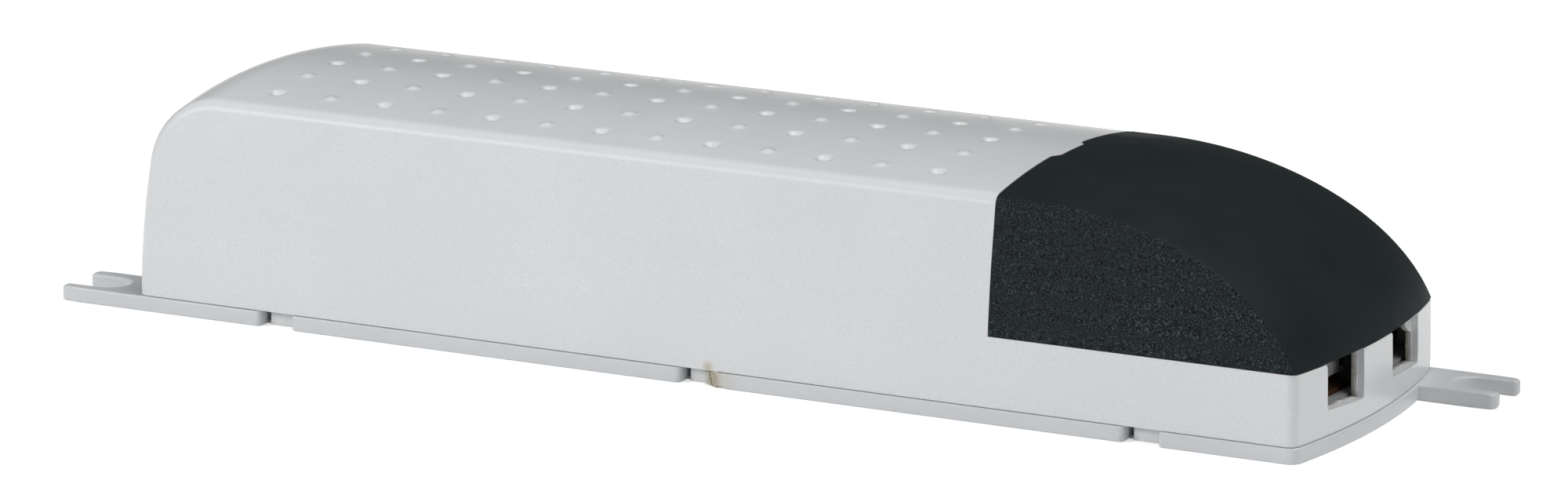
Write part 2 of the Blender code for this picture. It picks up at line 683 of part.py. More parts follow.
def flange_half():
    """Half the outline of the base plate, along the front and the wiring end. The other half is
    the same, turned round."""
    side, deep = FLANGE_SIDE_REACH, FLANGE_SIDE_REACH - NOTCH_DEPTH
    points = arc((-EAR_REACH + EAR_CORNER, -side + EAR_CORNER), EAR_CORNER, 180, 270, 4)
    for x in notch_places():
        left, right, r = x - NOTCH_WIDTH / 2, x + NOTCH_WIDTH / 2, NOTCH_CORNER
        points += [(left - r, -side), (left, -side + r), (left, -deep), (right, -deep),
                   (right, -side + r), (right + r, -side)]
    corner = FLANGE_END_REACH - sag(side - FLANGE_CORNER) - FLANGE_CORNER
    points += arc((corner, -side + FLANGE_CORNER), FLANGE_CORNER, 270, 352, 4)
    ear_foot = side - EAR_WIDTH
    bow_steps = 8
    for i in range(1, bow_steps + 1):
        y = -side + FLANGE_CORNER + (ear_foot + side - FLANGE_CORNER) * i / bow_steps
        points.append((FLANGE_END_REACH - sag(y), y))
    slot_y = side - EAR_OUTER_ARM - SLOT_WIDTH / 2
    half_slot = SLOT_WIDTH / 2
    tip = EAR_REACH - EAR_CORNER
    points += arc((tip, ear_foot + EAR_CORNER), EAR_CORNER, 270, 360, 4)
    mouth = 0.5 * MM
    points += [(EAR_REACH, slot_y - half_slot - mouth), (EAR_REACH - mouth, slot_y - half_slot)]
    points += arc((SLOT_BOTTOM + half_slot, slot_y), half_slot, 270, 90, 10)
    points += [(EAR_REACH - mouth, slot_y + half_slot), (EAR_REACH, slot_y + half_slot + mouth)]
    return points


def bowed_outline(side, end):
    """A rectangle in plan whose ends follow the bow."""
    steps = 8
    rows = [side * (2 * i / steps - 1) for i in range(steps + 1)]
    right = [(end - sag(y), y) for y in rows]
    return right + [(-x, -y) for x, y in right]


def clamp_screw_places():
    for name, centre in BAY_CENTRES.items():
        for i, way in enumerate((-1, 1)):
            yield name, i + 1, centre + way * CLAMP_SCREW_SPACING / 2


def make_base():
    half = flange_half()
    base = prism("base_plate", half + [(-x, -y) for x, y in half], "Z", 0, FLANGE_THICKNESS,
                 "base_plastic")
    round_edges(base, FLANGE_EDGE, angle=60)
    root = FLANGE_THICKNESS - MM
    side = SIDE_REACH - HOUSING_WALL - SEAT_GAP
    end = END_REACH - HOUSING_WALL - SEAT_GAP
    rim = prism("rim", bowed_outline(side, end), "Z", root, RIM_TOP)
    cut(rim, prism("rim_hollow", bowed_outline(side - RIM_THICKNESS, end - RIM_THICKNESS), "Z",
                   root - MM, RIM_TOP + MM))
    join(base, rim)
    board_bottom = BOARD_TOP - BOARD_THICKNESS
    for i, (x, y) in enumerate(PILLAR_PLACES):
        join(
            base,
            rod(f"pillar_{i}", PILLAR_RADIUS, (x, y, root), (x, y, board_bottom - SEAT_GAP)),
            rod(f"pillar_pin_{i}", PIN_RADIUS, (x, y, root), (x, y, BOARD_TOP)),
        )
    for name, i, y in clamp_screw_places():
        boss = rod(f"{name}_boss_{i}", BOSS_RADIUS, (CLAMP_X, y, root),
                   (CLAMP_X, y, CLAMP_BOTTOM - SEAT_GAP))
        cut(boss, rod(f"{name}_boss_bore_{i}", SCREW_RADIUS + SEAT_GAP,
                      (CLAMP_X, y, FLANGE_THICKNESS), (CLAMP_X, y, CLAMP_BOTTOM + MM)))
        join(base, boss)
    return base


def make_board():
    bottom = BOARD_TOP - BOARD_THICKNESS
    board = block(
        "circuit_board",
        (-BOARD_HALF_LENGTH, -BOARD_HALF_WIDTH, bottom),
        (BOARD_HALF_LENGTH, BOARD_HALF_WIDTH, BOARD_TOP),
        "board_laminate",
    )
    for i, (x, y) in enumerate(PILLAR_PLACES):
        cut(board, rod(f"pin_hole_{i}", PIN_RADIUS + SEAT_GAP, (x, y, 0), (x, y, 2 * BOARD_TOP)))
    for name, i, y in clamp_screw_places():
        cut(board, rod(f"{name}_boss_hole_{i}", BOSS_RADIUS + SEAT_GAP, (CLAMP_X, y, 0),
                       (CLAMP_X, y, 2 * BOARD_TOP)))
    return board


def slotted_screw(name, place, under_head, foot, radius, head_radius, head_height, finish):
    """A screw hanging down from under its head, with a straight slot."""
    x, y = place
    top = under_head + head_height
    screw = rod(name, head_radius, (x, y, under_head), (x, y, top), finish, SCREW_SIDES)
    join(screw, rod(name + "_shank", radius, (x, y, foot), (x, y, under_head + head_height / 2)))
    half = SCREW_SLOT / 2
    cut(screw, block(name + "_slot", (x - 2 * head_radius, y - half, top - head_height / 2),
                     (x + 2 * head_radius, y + half, top + MM)))
    return screw


def make_clamps():
    top = CLAMP_BOTTOM + CLAMP_HEIGHT
    seat = top - SCREW_HEAD_HEIGHT
    half = CLAMP_ARCH_WIDTH / 2
    finishes = {"mains": "clamp_plastic", "lamp": "bobbin_plastic"}
    for name, centre in BAY_CENTRES.items():
        near, far = centre - CLAMP_LENGTH / 2, centre + CLAMP_LENGTH / 2
        outline = [
            (near, CLAMP_BOTTOM), (centre - half, CLAMP_BOTTOM),
            (centre - half / 2, CLAMP_BOTTOM + CLAMP_ARCH_HEIGHT),
            (centre + half / 2, CLAMP_BOTTOM + CLAMP_ARCH_HEIGHT),
            (centre + half, CLAMP_BOTTOM), (far, CLAMP_BOTTOM),
            (far, top - MM), (far - MM, top), (near + MM, top), (near, top - MM),
        ]
        prism(f"{name}_cable_clamp", outline, "X", CLAMP_X - CLAMP_WIDTH / 2,
              CLAMP_X + CLAMP_WIDTH / 2, finishes[name])
    for name, i, y in clamp_screw_places():
        bottom, high = (CLAMP_X, y, 0), (CLAMP_X, y, 2 * top)
        cut(
            bpy.data.objects[f"{name}_cable_clamp"],
            rod(f"{name}_clamp_bore_{i}", SCREW_RADIUS + SEAT_GAP, bottom, high),
            rod(f"{name}_clamp_sink_{i}", SCREW_HEAD_RADIUS + SEAT_GAP, (CLAMP_X, y, seat), high,
                sides=SCREW_SIDES),
        )
        slotted_screw(f"{name}_clamp_screw_{i}", (CLAMP_X, y), seat + SEAT_GAP, FLANGE_THICKNESS + MM,
                      SCREW_RADIUS, SCREW_HEAD_RADIUS, SCREW_HEAD_HEIGHT, "zinc_steel")


def make_terminals():
    x, top = TERMINAL_X, DECK + TERMINAL_HEIGHT
    back, front = x - TERMINAL_DEPTH / 2, x + TERMINAL_DEPTH / 2
    slope = TERMINAL_DEPTH / 4
    half_width = TERMINAL_PITCH + TERMINAL_WALL / 2
    half_cage, half_hole = CAGE_SIZE / 2, CAGE_HOLE / 2
    room = half_cage + SEAT_GAP
    cage_low = DECK + CAGE_BOTTOM
    cage_high = cage_low + CAGE_HEIGHT
    way_low = cage_low + CAGE_FLOOR
    way_high = way_low + CAGE_HOLE
    for name, centre in BAY_CENTRES.items():
        outline = [
            (back, DECK), (front, DECK), (front, top - slope), (front - slope, top),
            (back + slope, top), (back, top - slope),
        ]
        body = prism(f"{name}_terminal_block", outline, "Y", centre - half_width,
                     centre + half_width, "terminal_plastic")
        for i, way in ((1, -1), (2, 1)):
            y = centre + way * TERMINAL_PITCH / 2
            cut(
                body,
                block(f"{name}_cage_room_{i}", (x - room, y - room, DECK - MM),
                      (x + room, y + room, cage_high + SEAT_GAP)),
                rod(f"{name}_screw_well_{i}", TERMINAL_HEAD_RADIUS + SEAT_GAP, (x, y, cage_low),
                    (x, y, top + MM), sides=SCREW_SIDES),
                block(f"{name}_wire_way_{i}", (x, y - half_hole, way_low),
                      (front + MM, y + half_hole, way_high)),
            )
            cage = block(f"{name}_terminal_cage_{i}", (x - half_cage, y - half_cage, cage_low),
                         (x + half_cage, y + half_cage, cage_high), "brass")
            cut(
                cage,
                block(f"{name}_cage_way_{i}", (x - CAGE_SIZE, y - half_hole, way_low),
                      (x + CAGE_SIZE, y + half_hole, way_high)),
                rod(f"{name}_cage_thread_{i}", TERMINAL_SCREW_RADIUS + SEAT_GAP,
                    (x, y, way_high - MM), (x, y, cage_high + MM)),
            )
            slotted_screw(f"{name}_terminal_screw_{i}", (x, y), cage_high + TERMINAL_HEAD_RISE,
                          way_high - MM, TERMINAL_SCREW_RADIUS, TERMINAL_HEAD_RADIUS,
                          SCREW_HEAD_HEIGHT, "zinc_steel")


def axial_part(name, place, size, finish, along="X"):
    """A body lying on the board with its two leads bent down: a fuse, diode or resistor."""
    body_radius, body_length, span = size
    middle = Vector((*place, DECK + BODY_LIFT + body_radius))
    step = Vector((1, 0, 0)) if along == "X" else Vector((0, 1, 0))
    half = step * body_length / 2
    body = rod(name, body_radius, middle - half, middle + half, finish)
    round_edges(body, body_radius * 0.25, angle=50)
    reach = step * span / 2
    foot = Vector((0, 0, DECK - middle.z))
    bends = (middle - reach + foot, middle - reach, middle + reach, middle + reach + foot)
    return join(body, wire(name + "_leads", bends, LEAD_RADIUS))


def case_part(name, place, size, finish):
    """A moulded case standing on the board: a film capacitor."""
    x, y = place
    width, depth, height = size
    return block(name, (x - width / 2, y - depth / 2, DECK),
                 (x + width / 2, y + depth / 2, DECK + height), finish, CASE_EDGE)


def disc_part(name, place, radius, thickness, finish):
    """A coated disc on edge across the board with two leads: a varistor or disc capacitor."""
    middle = Vector((*place, DECK + DISC_LIFT + radius))
    across = Vector((thickness / 2, 0, 0))
    disc = rod(name, radius, middle - across, middle + across, finish, ROUND_SIDES)
    round_edges(disc, thickness * 0.3, angle=50)
    for i, way in enumerate((-1, 1)):
        top = middle + Vector((0, way * radius / 2, 0))
        foot = (top.x, top.y, DECK)
        join(disc, rod(f"{name}_lead_{i}", LEAD_RADIUS, foot, top, sides=WIRE_SIDES))
    return disc


def ring(name, centre, outer, inner, height, finish):
    """A flat ring core lying on the board, turned from its section."""
    half, edge = height / 2, CORE_EDGE
    corners = [
        (outer, half - edge), (outer - edge, half), (inner + edge, half), (inner, half - edge),
        (inner, edge - half), (inner + edge, -half), (outer - edge, -half), (outer, edge - half),
    ]
    bm = bmesh.new()
    verts = [bm.verts.new((r, 0, h)) for r, h in corners]
    edges = [bm.edges.new(pair) for pair in zip(verts, verts[1:] + verts[:1])]
    bmesh.ops.spin(bm, geom=verts + edges, cent=(0, 0, 0), axis=(0, 0, 1), angle=math.tau,
                   steps=RING_SIDES, use_merge=True)
    bmesh.ops.remove_doubles(bm, verts=bm.verts, dist=0.001 * MM)
    bmesh.ops.translate(bm, vec=centre, verts=bm.verts)
    return add_object(name, bm, finish)


def ring_winding(name, centre, outer, inner, height, start, end, turns):
    """Turns of wire packed round part of a ring core, as one ribbed sleeve that is open inside
    for the core. Angles in degrees."""
    x, y, z = centre
    low, high, half = inner - SEAT_GAP, outer + SEAT_GAP, height / 2 + SEAT_GAP
    bm = bmesh.new()
    rings = []
    for i in range(2 * turns + 1):
        a = math.radians(start + (end - start) * i / (2 * turns))
        grow = WINDING_BUILD if i % 2 else WINDING_BUILD * 0.6
        for g in (grow, 0):
            section = [(high + g, -half - g), (high + g, half + g), (low - g, half + g),
                       (low - g, -half - g)]
            rings.append([bm.verts.new((x + r * math.cos(a), y + r * math.sin(a), z + h))
                          for r, h in section])
    outside, inside = rings[::2], rings[1::2]
    pairs = [*zip(outside, outside[1:]), *zip(inside[1:], inside)]
    pairs += [(inside[0], outside[0]), (outside[-1], inside[-1])]
    for before, after in pairs:
        for i in range(4):
            j = (i + 1) % 4
            bm.faces.new((before[i], before[j], after[j], after[i]))
    return add_object(name, bm, "copper_wire")


def make_ring_parts():
    lift = DECK + WINDING_BUILD + SEAT_GAP
    size = (CHOKE_OUTER, CHOKE_INNER, CHOKE_HEIGHT)
    centre = (*CHOKE_CENTRE, lift + CHOKE_HEIGHT / 2)
    ring("choke_core", centre, *size, "coated_core")
    ring_winding("choke_winding_1", centre, *size, -60, 60, 10)
    ring_winding("choke_winding_2", centre, *size, 120, 240, 10)
    size = (DRIVE_OUTER, DRIVE_INNER, DRIVE_HEIGHT)
    centre = (*DRIVE_CENTRE, lift + DRIVE_HEIGHT / 2)
    ring("drive_transformer_core", centre, *size, "ferrite")
    ring_winding("drive_transformer_winding", centre, *size, 20, 200, 9)


def make_output_transformer():
    middle_z = DECK + BOBBIN_FLANGE_DROP + CORE_HEIGHT / 2
    low, high = middle_z - CORE_HEIGHT / 2, middle_z + CORE_HEIGHT / 2
    half, leg, tongue = CORE_WIDTH / 2, CORE_OUTER_LEG, CORE_MIDDLE_LEG / 2
    for name, way in (("rear", -1), ("front", 1)):
        yoke_out = CORE_HALF_LENGTH + SEAT_GAP / 2
        yoke_in, face = yoke_out - CORE_YOKE, SEAT_GAP / 2
        outline = [
            (yoke_out, -half), (yoke_out, half), (face, half), (face, half - leg), (yoke_in, half - leg),
            (yoke_in, tongue), (face, tongue), (face, -tongue), (yoke_in, -tongue),
            (yoke_in, -half + leg), (face, -half + leg), (face, -half),
        ]
        prism(f"transformer_core_{name}", [(CORE_X + way * x, CORE_Y + y) for x, y in outline],
              "Z", low, high, "ferrite")

    bore_y, bore_z = tongue + SEAT_GAP, CORE_HEIGHT / 2 + SEAT_GAP
    tube_y, tube_z = bore_y + BOBBIN_WALL, bore_z + BOBBIN_WALL
    rim_y = half - leg - SEAT_GAP
    rim_z = middle_z - DECK
    start, end = CORE_X - BOBBIN_LENGTH / 2, CORE_X + BOBBIN_LENGTH / 2
    bobbin = block("transformer_bobbin", (start, CORE_Y - tube_y, middle_z - tube_z),
                   (end, CORE_Y + tube_y, middle_z + tube_z), "bobbin_plastic")
    parting = start + PRIMARY_CHAMBER
    for i, x in enumerate((start, parting, end - BOBBIN_FLANGE)):
        join(bobbin, block(f"bobbin_flange_{i}", (x, CORE_Y - rim_y, middle_z - rim_z),
                           (x + BOBBIN_FLANGE, CORE_Y + rim_y, middle_z + rim_z - MM)))
    cut(bobbin, block("bobbin_bore", (start - MM, CORE_Y - bore_y, middle_z - bore_z),
                      (end + MM, CORE_Y + bore_y, middle_z + bore_z)))

    inner_y, inner_z = tube_y + SEAT_GAP, tube_z + SEAT_GAP
    depth = min(rim_y - inner_y - SEAT_GAP, WINDING_THICKNESS)
    corner = depth * 0.8
    chambers = (
        ("primary", start + BOBBIN_FLANGE, parting, PRIMARY_TURNS, "copper_wire"),
        ("secondary", parting + BOBBIN_FLANGE, end - BOBBIN_FLANGE, SECONDARY_TURNS, "secondary_sleeve"),
    )
    for name, left, right, turns, finish in chambers:
        left, right = left + SEAT_GAP, right - SEAT_GAP
        pitch = (right - left) / turns
        sections = []
        for i in range(2 * turns + 1):
            grow = depth if i % 2 else depth - pitch * 0.2
            y, z = inner_y + grow - corner, inner_z + grow - corner
            loop = []
            for centre, a in (((y, z), 0), ((-y, z), 90), ((-y, -z), 180), ((y, -z), 270)):
                loop += arc(centre, corner, a, a + 90, 3)
            sections.append([(left + pitch * i / 2, CORE_Y + u, middle_z + v) for u, v in loop])
        winding = loft(f"transformer_{name}_winding", sections, finish)
        cut(winding, block(name + "_bore", (left - MM, CORE_Y - inner_y, middle_z - inner_z),
                           (right + MM, CORE_Y + inner_y, middle_z + inner_z)))


def make_transistor(name, x, face, body_low, body_front):
    """A moulded body with its metal tab flat against the spreader and three legs in a row."""
    half, slope = TRANSISTOR_WIDTH / 2, TRANSISTOR_SLOPE
    body_back = face - TAB_THICKNESS / 2
    section = [
        (body_back, body_low), (body_front, body_low + slope),
        (body_front, body_low + BODY_HEIGHT - slope), (body_back, body_low + BODY_HEIGHT),
    ]
    body = prism(name, section, "X", x - half, x + half, "epoxy_black")
    tab = block(name + "_tab", (x - half + slope, face - TAB_THICKNESS, body_low + slope),
                (x + half - slope, face, body_low + TAB_HEIGHT))
    hole_z = body_low + TAB_HOLE_HEIGHT
    cut(tab, rod(name + "_tab_hole", TAB_HOLE_RADIUS, (x, face - TAB_THICKNESS - MM, hole_z),
                 (x, face + MM, hole_z)))
    join(body, tab)
    r, leg_y = LEAD_RADIUS, face - TRANSISTOR_LEG_SETBACK
    for leg in (-1, 0, 1):
        leg_x = x + leg * TRANSISTOR_LEG_PITCH
        join(body, block(f"{name}_leg_{leg + 1}", (leg_x - r, leg_y - r, DECK),
                         (leg_x + r, leg_y + r, body_low + MM)))


def make_power_stage():
    face = SPREADER_Y - SEAT_GAP
    back = SPREADER_Y + SPREADER_THICKNESS
    body_low = DECK + LEAD_RISE
    body_front = face - TRANSISTOR_DEPTH
    for i, x in enumerate(TRANSISTOR_PLACES):
        make_transistor(f"power_transistor_{i + 1}", x, face, body_low, body_front)
    clip_x, clip_z = sum(TRANSISTOR_PLACES) / 2, body_low + BODY_HEIGHT / 2
    plate = block("heat_spreader", (SPREADER_START, SPREADER_Y, DECK),
                  (SPREADER_END, back, SPREADER_TOP), "aluminium", CORE_EDGE)
    cut(plate, rod("spreader_hole", SCREW_RADIUS + SEAT_GAP, (clip_x, SPREADER_Y - MM, clip_z),
                   (clip_x, back + MM, clip_z)))
    # Each wing of the spring strip bears on a body with a bent toe, and the screw pulls it in.
    press = body_front - SEAT_GAP
    middle = press - CLIP_BOW
    outer = (TRANSISTOR_PLACES[1] - TRANSISTOR_PLACES[0]) / 2
    wing = [(outer - 2 * CLIP_TOE, middle), (outer, press), (outer + CLIP_TOE, middle)]
    bow = [(-x, y) for x, y in reversed(wing)] + wing
    outline = [(clip_x + x, y) for x, y in bow]
    outline += [(clip_x + x, y - CLIP_THICKNESS) for x, y in reversed(bow)]
    strip = prism("transistor_clip", outline, "Z", clip_z - CLIP_WIDTH / 2, clip_z + CLIP_WIDTH / 2,
                  "zinc_steel")
    seat = middle - CLIP_THICKNESS
    cut(strip, rod("clip_hole", SCREW_RADIUS + SEAT_GAP, (clip_x, seat - MM, clip_z),
                   (clip_x, face, clip_z)))
    head_back = seat - SEAT_GAP
    screw = rod("clip_screw", SCREW_HEAD_RADIUS, (clip_x, head_back - SCREW_HEAD_HEIGHT, clip_z),
                (clip_x, head_back, clip_z), "zinc_steel", SCREW_SIDES)
    join(screw, rod("clip_screw_shank", SCREW_RADIUS, (clip_x, head_back - SCREW_HEAD_HEIGHT / 2, clip_z),
                    (clip_x, back, clip_z)))


def make_line_parts():
    axial_part("input_fuse", FUSE_PLACE, FUSE_SIZE, "fuse_ceramic")
    disc_part("varistor", VARISTOR_PLACE, VARISTOR_RADIUS, VARISTOR_THICKNESS, "varistor_blue")
    case_part("suppression_capacitor", SUPPRESSOR_PLACE, SUPPRESSOR_SIZE, "film_yellow")
    for i in range(4):
        place = (DIODE_START[0] + DIODE_PITCH * i, DIODE_START[1])
        axial_part(f"rectifier_diode_{i + 1}", place, DIODE_SIZE, "epoxy_black", along="Y")


def make_bridge_parts():
    for i, y in enumerate(BRIDGE_CAPACITOR_ROWS):
        case_part(f"bridge_capacitor_{i + 1}", (BRIDGE_X, y), BRIDGE_CAPACITOR_SIZE, "film_red")
    axial_part("start_resistor", (BRIDGE_X, START_RESISTOR_Y), START_RESISTOR_SIZE, "resistor_tan")
    for i, y in enumerate(BASE_RESISTOR_ROWS):
        axial_part(f"base_resistor_{i + 1}", (BRIDGE_X, y), BASE_RESISTOR_SIZE, "resistor_tan")
    axial_part("trigger_diode", TRIGGER_DIODE_PLACE, TRIGGER_DIODE_SIZE, "epoxy_black", along="Y")
    disc_part("start_capacitor", START_CAPACITOR_PLACE, START_CAPACITOR_RADIUS,
              START_CAPACITOR_THICKNESS, "resistor_tan")


def main():
    start_scene()
    make_base()
    make_cover()
    make_cap()
    make_board()
    make_clamps()
    make_terminals()
    make_line_parts()
    make_ring_parts()
    make_power_stage()
    make_output_transformer()
    make_bridge_parts()


main()
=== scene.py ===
import math
import random

import bmesh
import bpy
from mathutils import Matrix, Vector, noise


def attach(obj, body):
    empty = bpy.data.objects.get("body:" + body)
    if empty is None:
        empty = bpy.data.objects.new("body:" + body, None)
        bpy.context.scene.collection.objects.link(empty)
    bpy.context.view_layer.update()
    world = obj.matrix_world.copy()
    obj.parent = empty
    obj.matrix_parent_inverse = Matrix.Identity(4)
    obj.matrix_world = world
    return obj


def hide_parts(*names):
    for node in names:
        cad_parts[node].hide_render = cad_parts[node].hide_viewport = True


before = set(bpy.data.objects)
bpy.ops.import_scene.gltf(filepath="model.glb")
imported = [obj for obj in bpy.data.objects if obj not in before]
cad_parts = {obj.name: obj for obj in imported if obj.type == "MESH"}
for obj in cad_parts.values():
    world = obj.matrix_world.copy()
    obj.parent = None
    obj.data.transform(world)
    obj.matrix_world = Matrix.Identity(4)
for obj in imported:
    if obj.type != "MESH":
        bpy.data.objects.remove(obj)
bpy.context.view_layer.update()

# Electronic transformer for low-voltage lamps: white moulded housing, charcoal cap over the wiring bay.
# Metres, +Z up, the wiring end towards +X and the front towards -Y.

mm = 0.001


# Modelling helpers

def deselectAll():
    if bpy.context.object and bpy.context.object.mode != "OBJECT":
        bpy.ops.object.mode_set(mode="OBJECT")
    bpy.ops.object.select_all(action="DESELECT")


def activate(obj):
    deselectAll()
    obj.select_set(True)
    bpy.context.view_layer.objects.active = obj


def startEdit(obj, kind="VERT"):
    activate(obj)
    bpy.ops.object.mode_set(mode="EDIT")
    bpy.ops.mesh.select_mode(type=kind)
    bpy.ops.mesh.select_all(action="DESELECT")


def endEdit():
    bpy.ops.object.mode_set(mode="OBJECT")


def editAll(obj):
    startEdit(obj)
    bpy.ops.mesh.select_all(action="SELECT")


def intoScene(obj):
    bpy.context.scene.collection.objects.link(obj)


def extrude(run):
    bpy.ops.mesh.extrude_region_move(TRANSFORM_OT_translate={"value": run})


def pair(side, near, far):
    # Two distances on the front (-1) or the rear (1), the lower first
    return sorted((side * near, side * far))


def pick(obj, kind, test):
    # In edit mode, select the vertices, edges or faces that pass the test
    bpy.ops.mesh.select_mode(type=kind)
    bpy.ops.mesh.select_all(action="DESELECT")
    mesh = bmesh.from_edit_mesh(obj.data)
    items = {"VERT": mesh.verts, "EDGE": mesh.edges, "FACE": mesh.faces}[kind]
    for item in items:
        if test(item):
            item.select_set(True)
    bmesh.update_edit_mesh(obj.data)


def facesOut(obj):
    editAll(obj)
    bpy.ops.mesh.normals_make_consistent(inside=False)
    endEdit()


def addBox(name, low, high):
    deselectAll()
    middle = [(a + b) / 2 for a, b in zip(low, high)]
    bpy.ops.mesh.primitive_cube_add(size=1, location=middle)
    box = bpy.context.object
    box.name = name
    box.scale = [b - a for a, b in zip(low, high)]
    bpy.ops.object.transform_apply(location=True, rotation=True, scale=True)
    return box


def addPrism(name, outline, axis, low, high):
    # A flat outline pulled along an axis: points are (x, y) for Z, (x, z) for Y and (y, z) for X
    deselectAll()
    bpy.ops.mesh.primitive_circle_add(vertices=len(outline), radius=1, fill_type="NGON")
    prism = bpy.context.object
    prism.name = name
    for vertex, (u, v) in zip(prism.data.vertices, outline):
        vertex.co = {"Z": (u, v, low), "Y": (u, low, v), "X": (low, u, v)}[axis]
    run = {"Z": (0, 0, high - low), "Y": (0, high - low, 0), "X": (high - low, 0, 0)}[axis]
    editAll(prism)
    extrude(run)
    endEdit()
    facesOut(prism)
    return prism


def addRod(name, radius, start, end, sides=32):
    deselectAll()
    start, end = Vector(start), Vector(end)
    run = end - start
    bpy.ops.mesh.primitive_cylinder_add(
        vertices=sides, radius=radius, depth=run.length, location=(start + end) / 2,
        rotation=run.to_track_quat("Z", "Y").to_euler(),
    )
    rod = bpy.context.object
    rod.name = name
    bpy.ops.object.transform_apply(location=True, rotation=True, scale=True)
    return rod


def combine(target, operation, *tools):
    # Cut, join or keep the common part with each tool, which is used up
    for tool in tools:
        activate(target)
        step = target.modifiers.new("step", "BOOLEAN")
        step.operation = operation
        step.object = tool
        bpy.ops.object.modifier_apply(modifier=step.name)
        bpy.data.objects.remove(tool, do_unlink=True)
    return target


def roundEdges(obj, width, segments, limit="ANGLE", angle=40):
    activate(obj)
    step = obj.modifiers.new("edges", "BEVEL")
    step.width = width
    step.segments = segments
    step.use_clamp_overlap = False
    step.limit_method = limit
    step.angle_limit = math.radians(angle)
    bpy.ops.object.modifier_apply(modifier=step.name)


def mergePoints(obj, reach):
    editAll(obj)
    bpy.ops.mesh.remove_doubles(threshold=reach)
    endEdit()


def finishPiece(obj, name, slot, replaced, angle=35):
    activate(obj)
    obj.name = name
    obj.data.name = name
    obj.data.materials.clear()
    obj.data.materials.append(materials[slot])
    bpy.ops.object.shade_smooth_by_angle(angle=math.radians(angle))
    even = obj.modifiers.new("evenNormals", "WEIGHTED_NORMAL")
    even.keep_sharp = True
    bpy.ops.object.modifier_apply(modifier=even.name)
    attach(obj, "root")
    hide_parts(*replaced)
    print("made:", name)


def arcPoints(centre, radius, start, end, steps):
    turns = [math.radians(start + (end - start) * i / steps) for i in range(steps + 1)]
    return [(centre[0] + radius * math.cos(turn), centre[1] + radius * math.sin(turn)) for turn in turns]


def addNode(tree, kind, operation=None):
    node = tree.nodes.new("ShaderNode" + kind)
    if operation:
        node.operation = operation
    return node


# Camera, lights and floor

viewSettings = {
    "place": (376.616 * mm, -780.4 * mm, 217.042 * mm),
    "turned": (76.6609, -0.7838, 25.9042),
    "lens": 172.503,
    "sensor": 36.0,
}

lampSettings = {
    "front": {"place": (-0.55, -0.68, 0.42), "size": (0.4, 0.32), "power": 4.55},
    "top": {"place": (0.3, 0.1, 0.8), "size": (0.7, 0.7), "power": 4.9},
    "right": {"place": (0.84, -0.5, 0.35), "size": (0.35, 0.35), "power": 1.25},
}

roomSettings = {
    "ambient": 0.04,
    "floorColour": (0.9, 0.9, 0.9, 1),
    "floorSize": 40.0,
    "glowNear": 0.5,  # beside the object, where the floor keeps its shadow
    "glowFar": 1.0,
    "glowFrom": 0.3,
    "glowTo": 1.1,
}


def placeCamera():
    cameraData = bpy.data.cameras.new("photoView")
    cameraData.sensor_width = viewSettings["sensor"]
    cameraData.sensor_fit = "HORIZONTAL"
    cameraData.lens = viewSettings["lens"]
    cameraData.clip_start = 0.01
    camera = bpy.data.objects.new("photoView", cameraData)
    camera.location = viewSettings["place"]
    camera.rotation_euler = [math.radians(turn) for turn in viewSettings["turned"]]
    intoScene(camera)
    bpy.context.scene.camera = camera


def placeLamps():
    for name, values in lampSettings.items():
        lampData = bpy.data.lights.new(name + "Lamp", "AREA")
        lampData.shape = "RECTANGLE"
        lampData.size, lampData.size_y = values["size"]
        lampData.energy = values["power"]
        lamp = bpy.data.objects.new(name + "Lamp", lampData)
        lamp.location = values["place"]
        lamp.rotation_euler = (-Vector(values["place"])).to_track_quat("-Z", "Y").to_euler()
        intoScene(lamp)


def seenOrMirrored(tree):
    # 1 where the ray comes from the camera, a mirror or glass
    rays = addNode(tree, "LightPath").outputs
    result = rays["Is Camera Ray"]
    for kind in ("Is Glossy Ray", "Is Transmission Ray"):
        most = addNode(tree, "Math", "MAXIMUM")
        tree.links.new(result, most.inputs[0])
        tree.links.new(rays[kind], most.inputs[1])
        result = most.outputs[0]
    return result


def lightRoom():
    bpy.context.scene.view_settings.view_transform = "Standard"
    world = bpy.data.worlds.new("studio")
    bpy.context.scene.world = world
    world.use_nodes = True
    dim = world.node_tree.nodes["Background"]
    dim.inputs["Color"].default_value = (1, 1, 1, 1)
    dim.inputs["Strength"].default_value = roomSettings["ambient"]


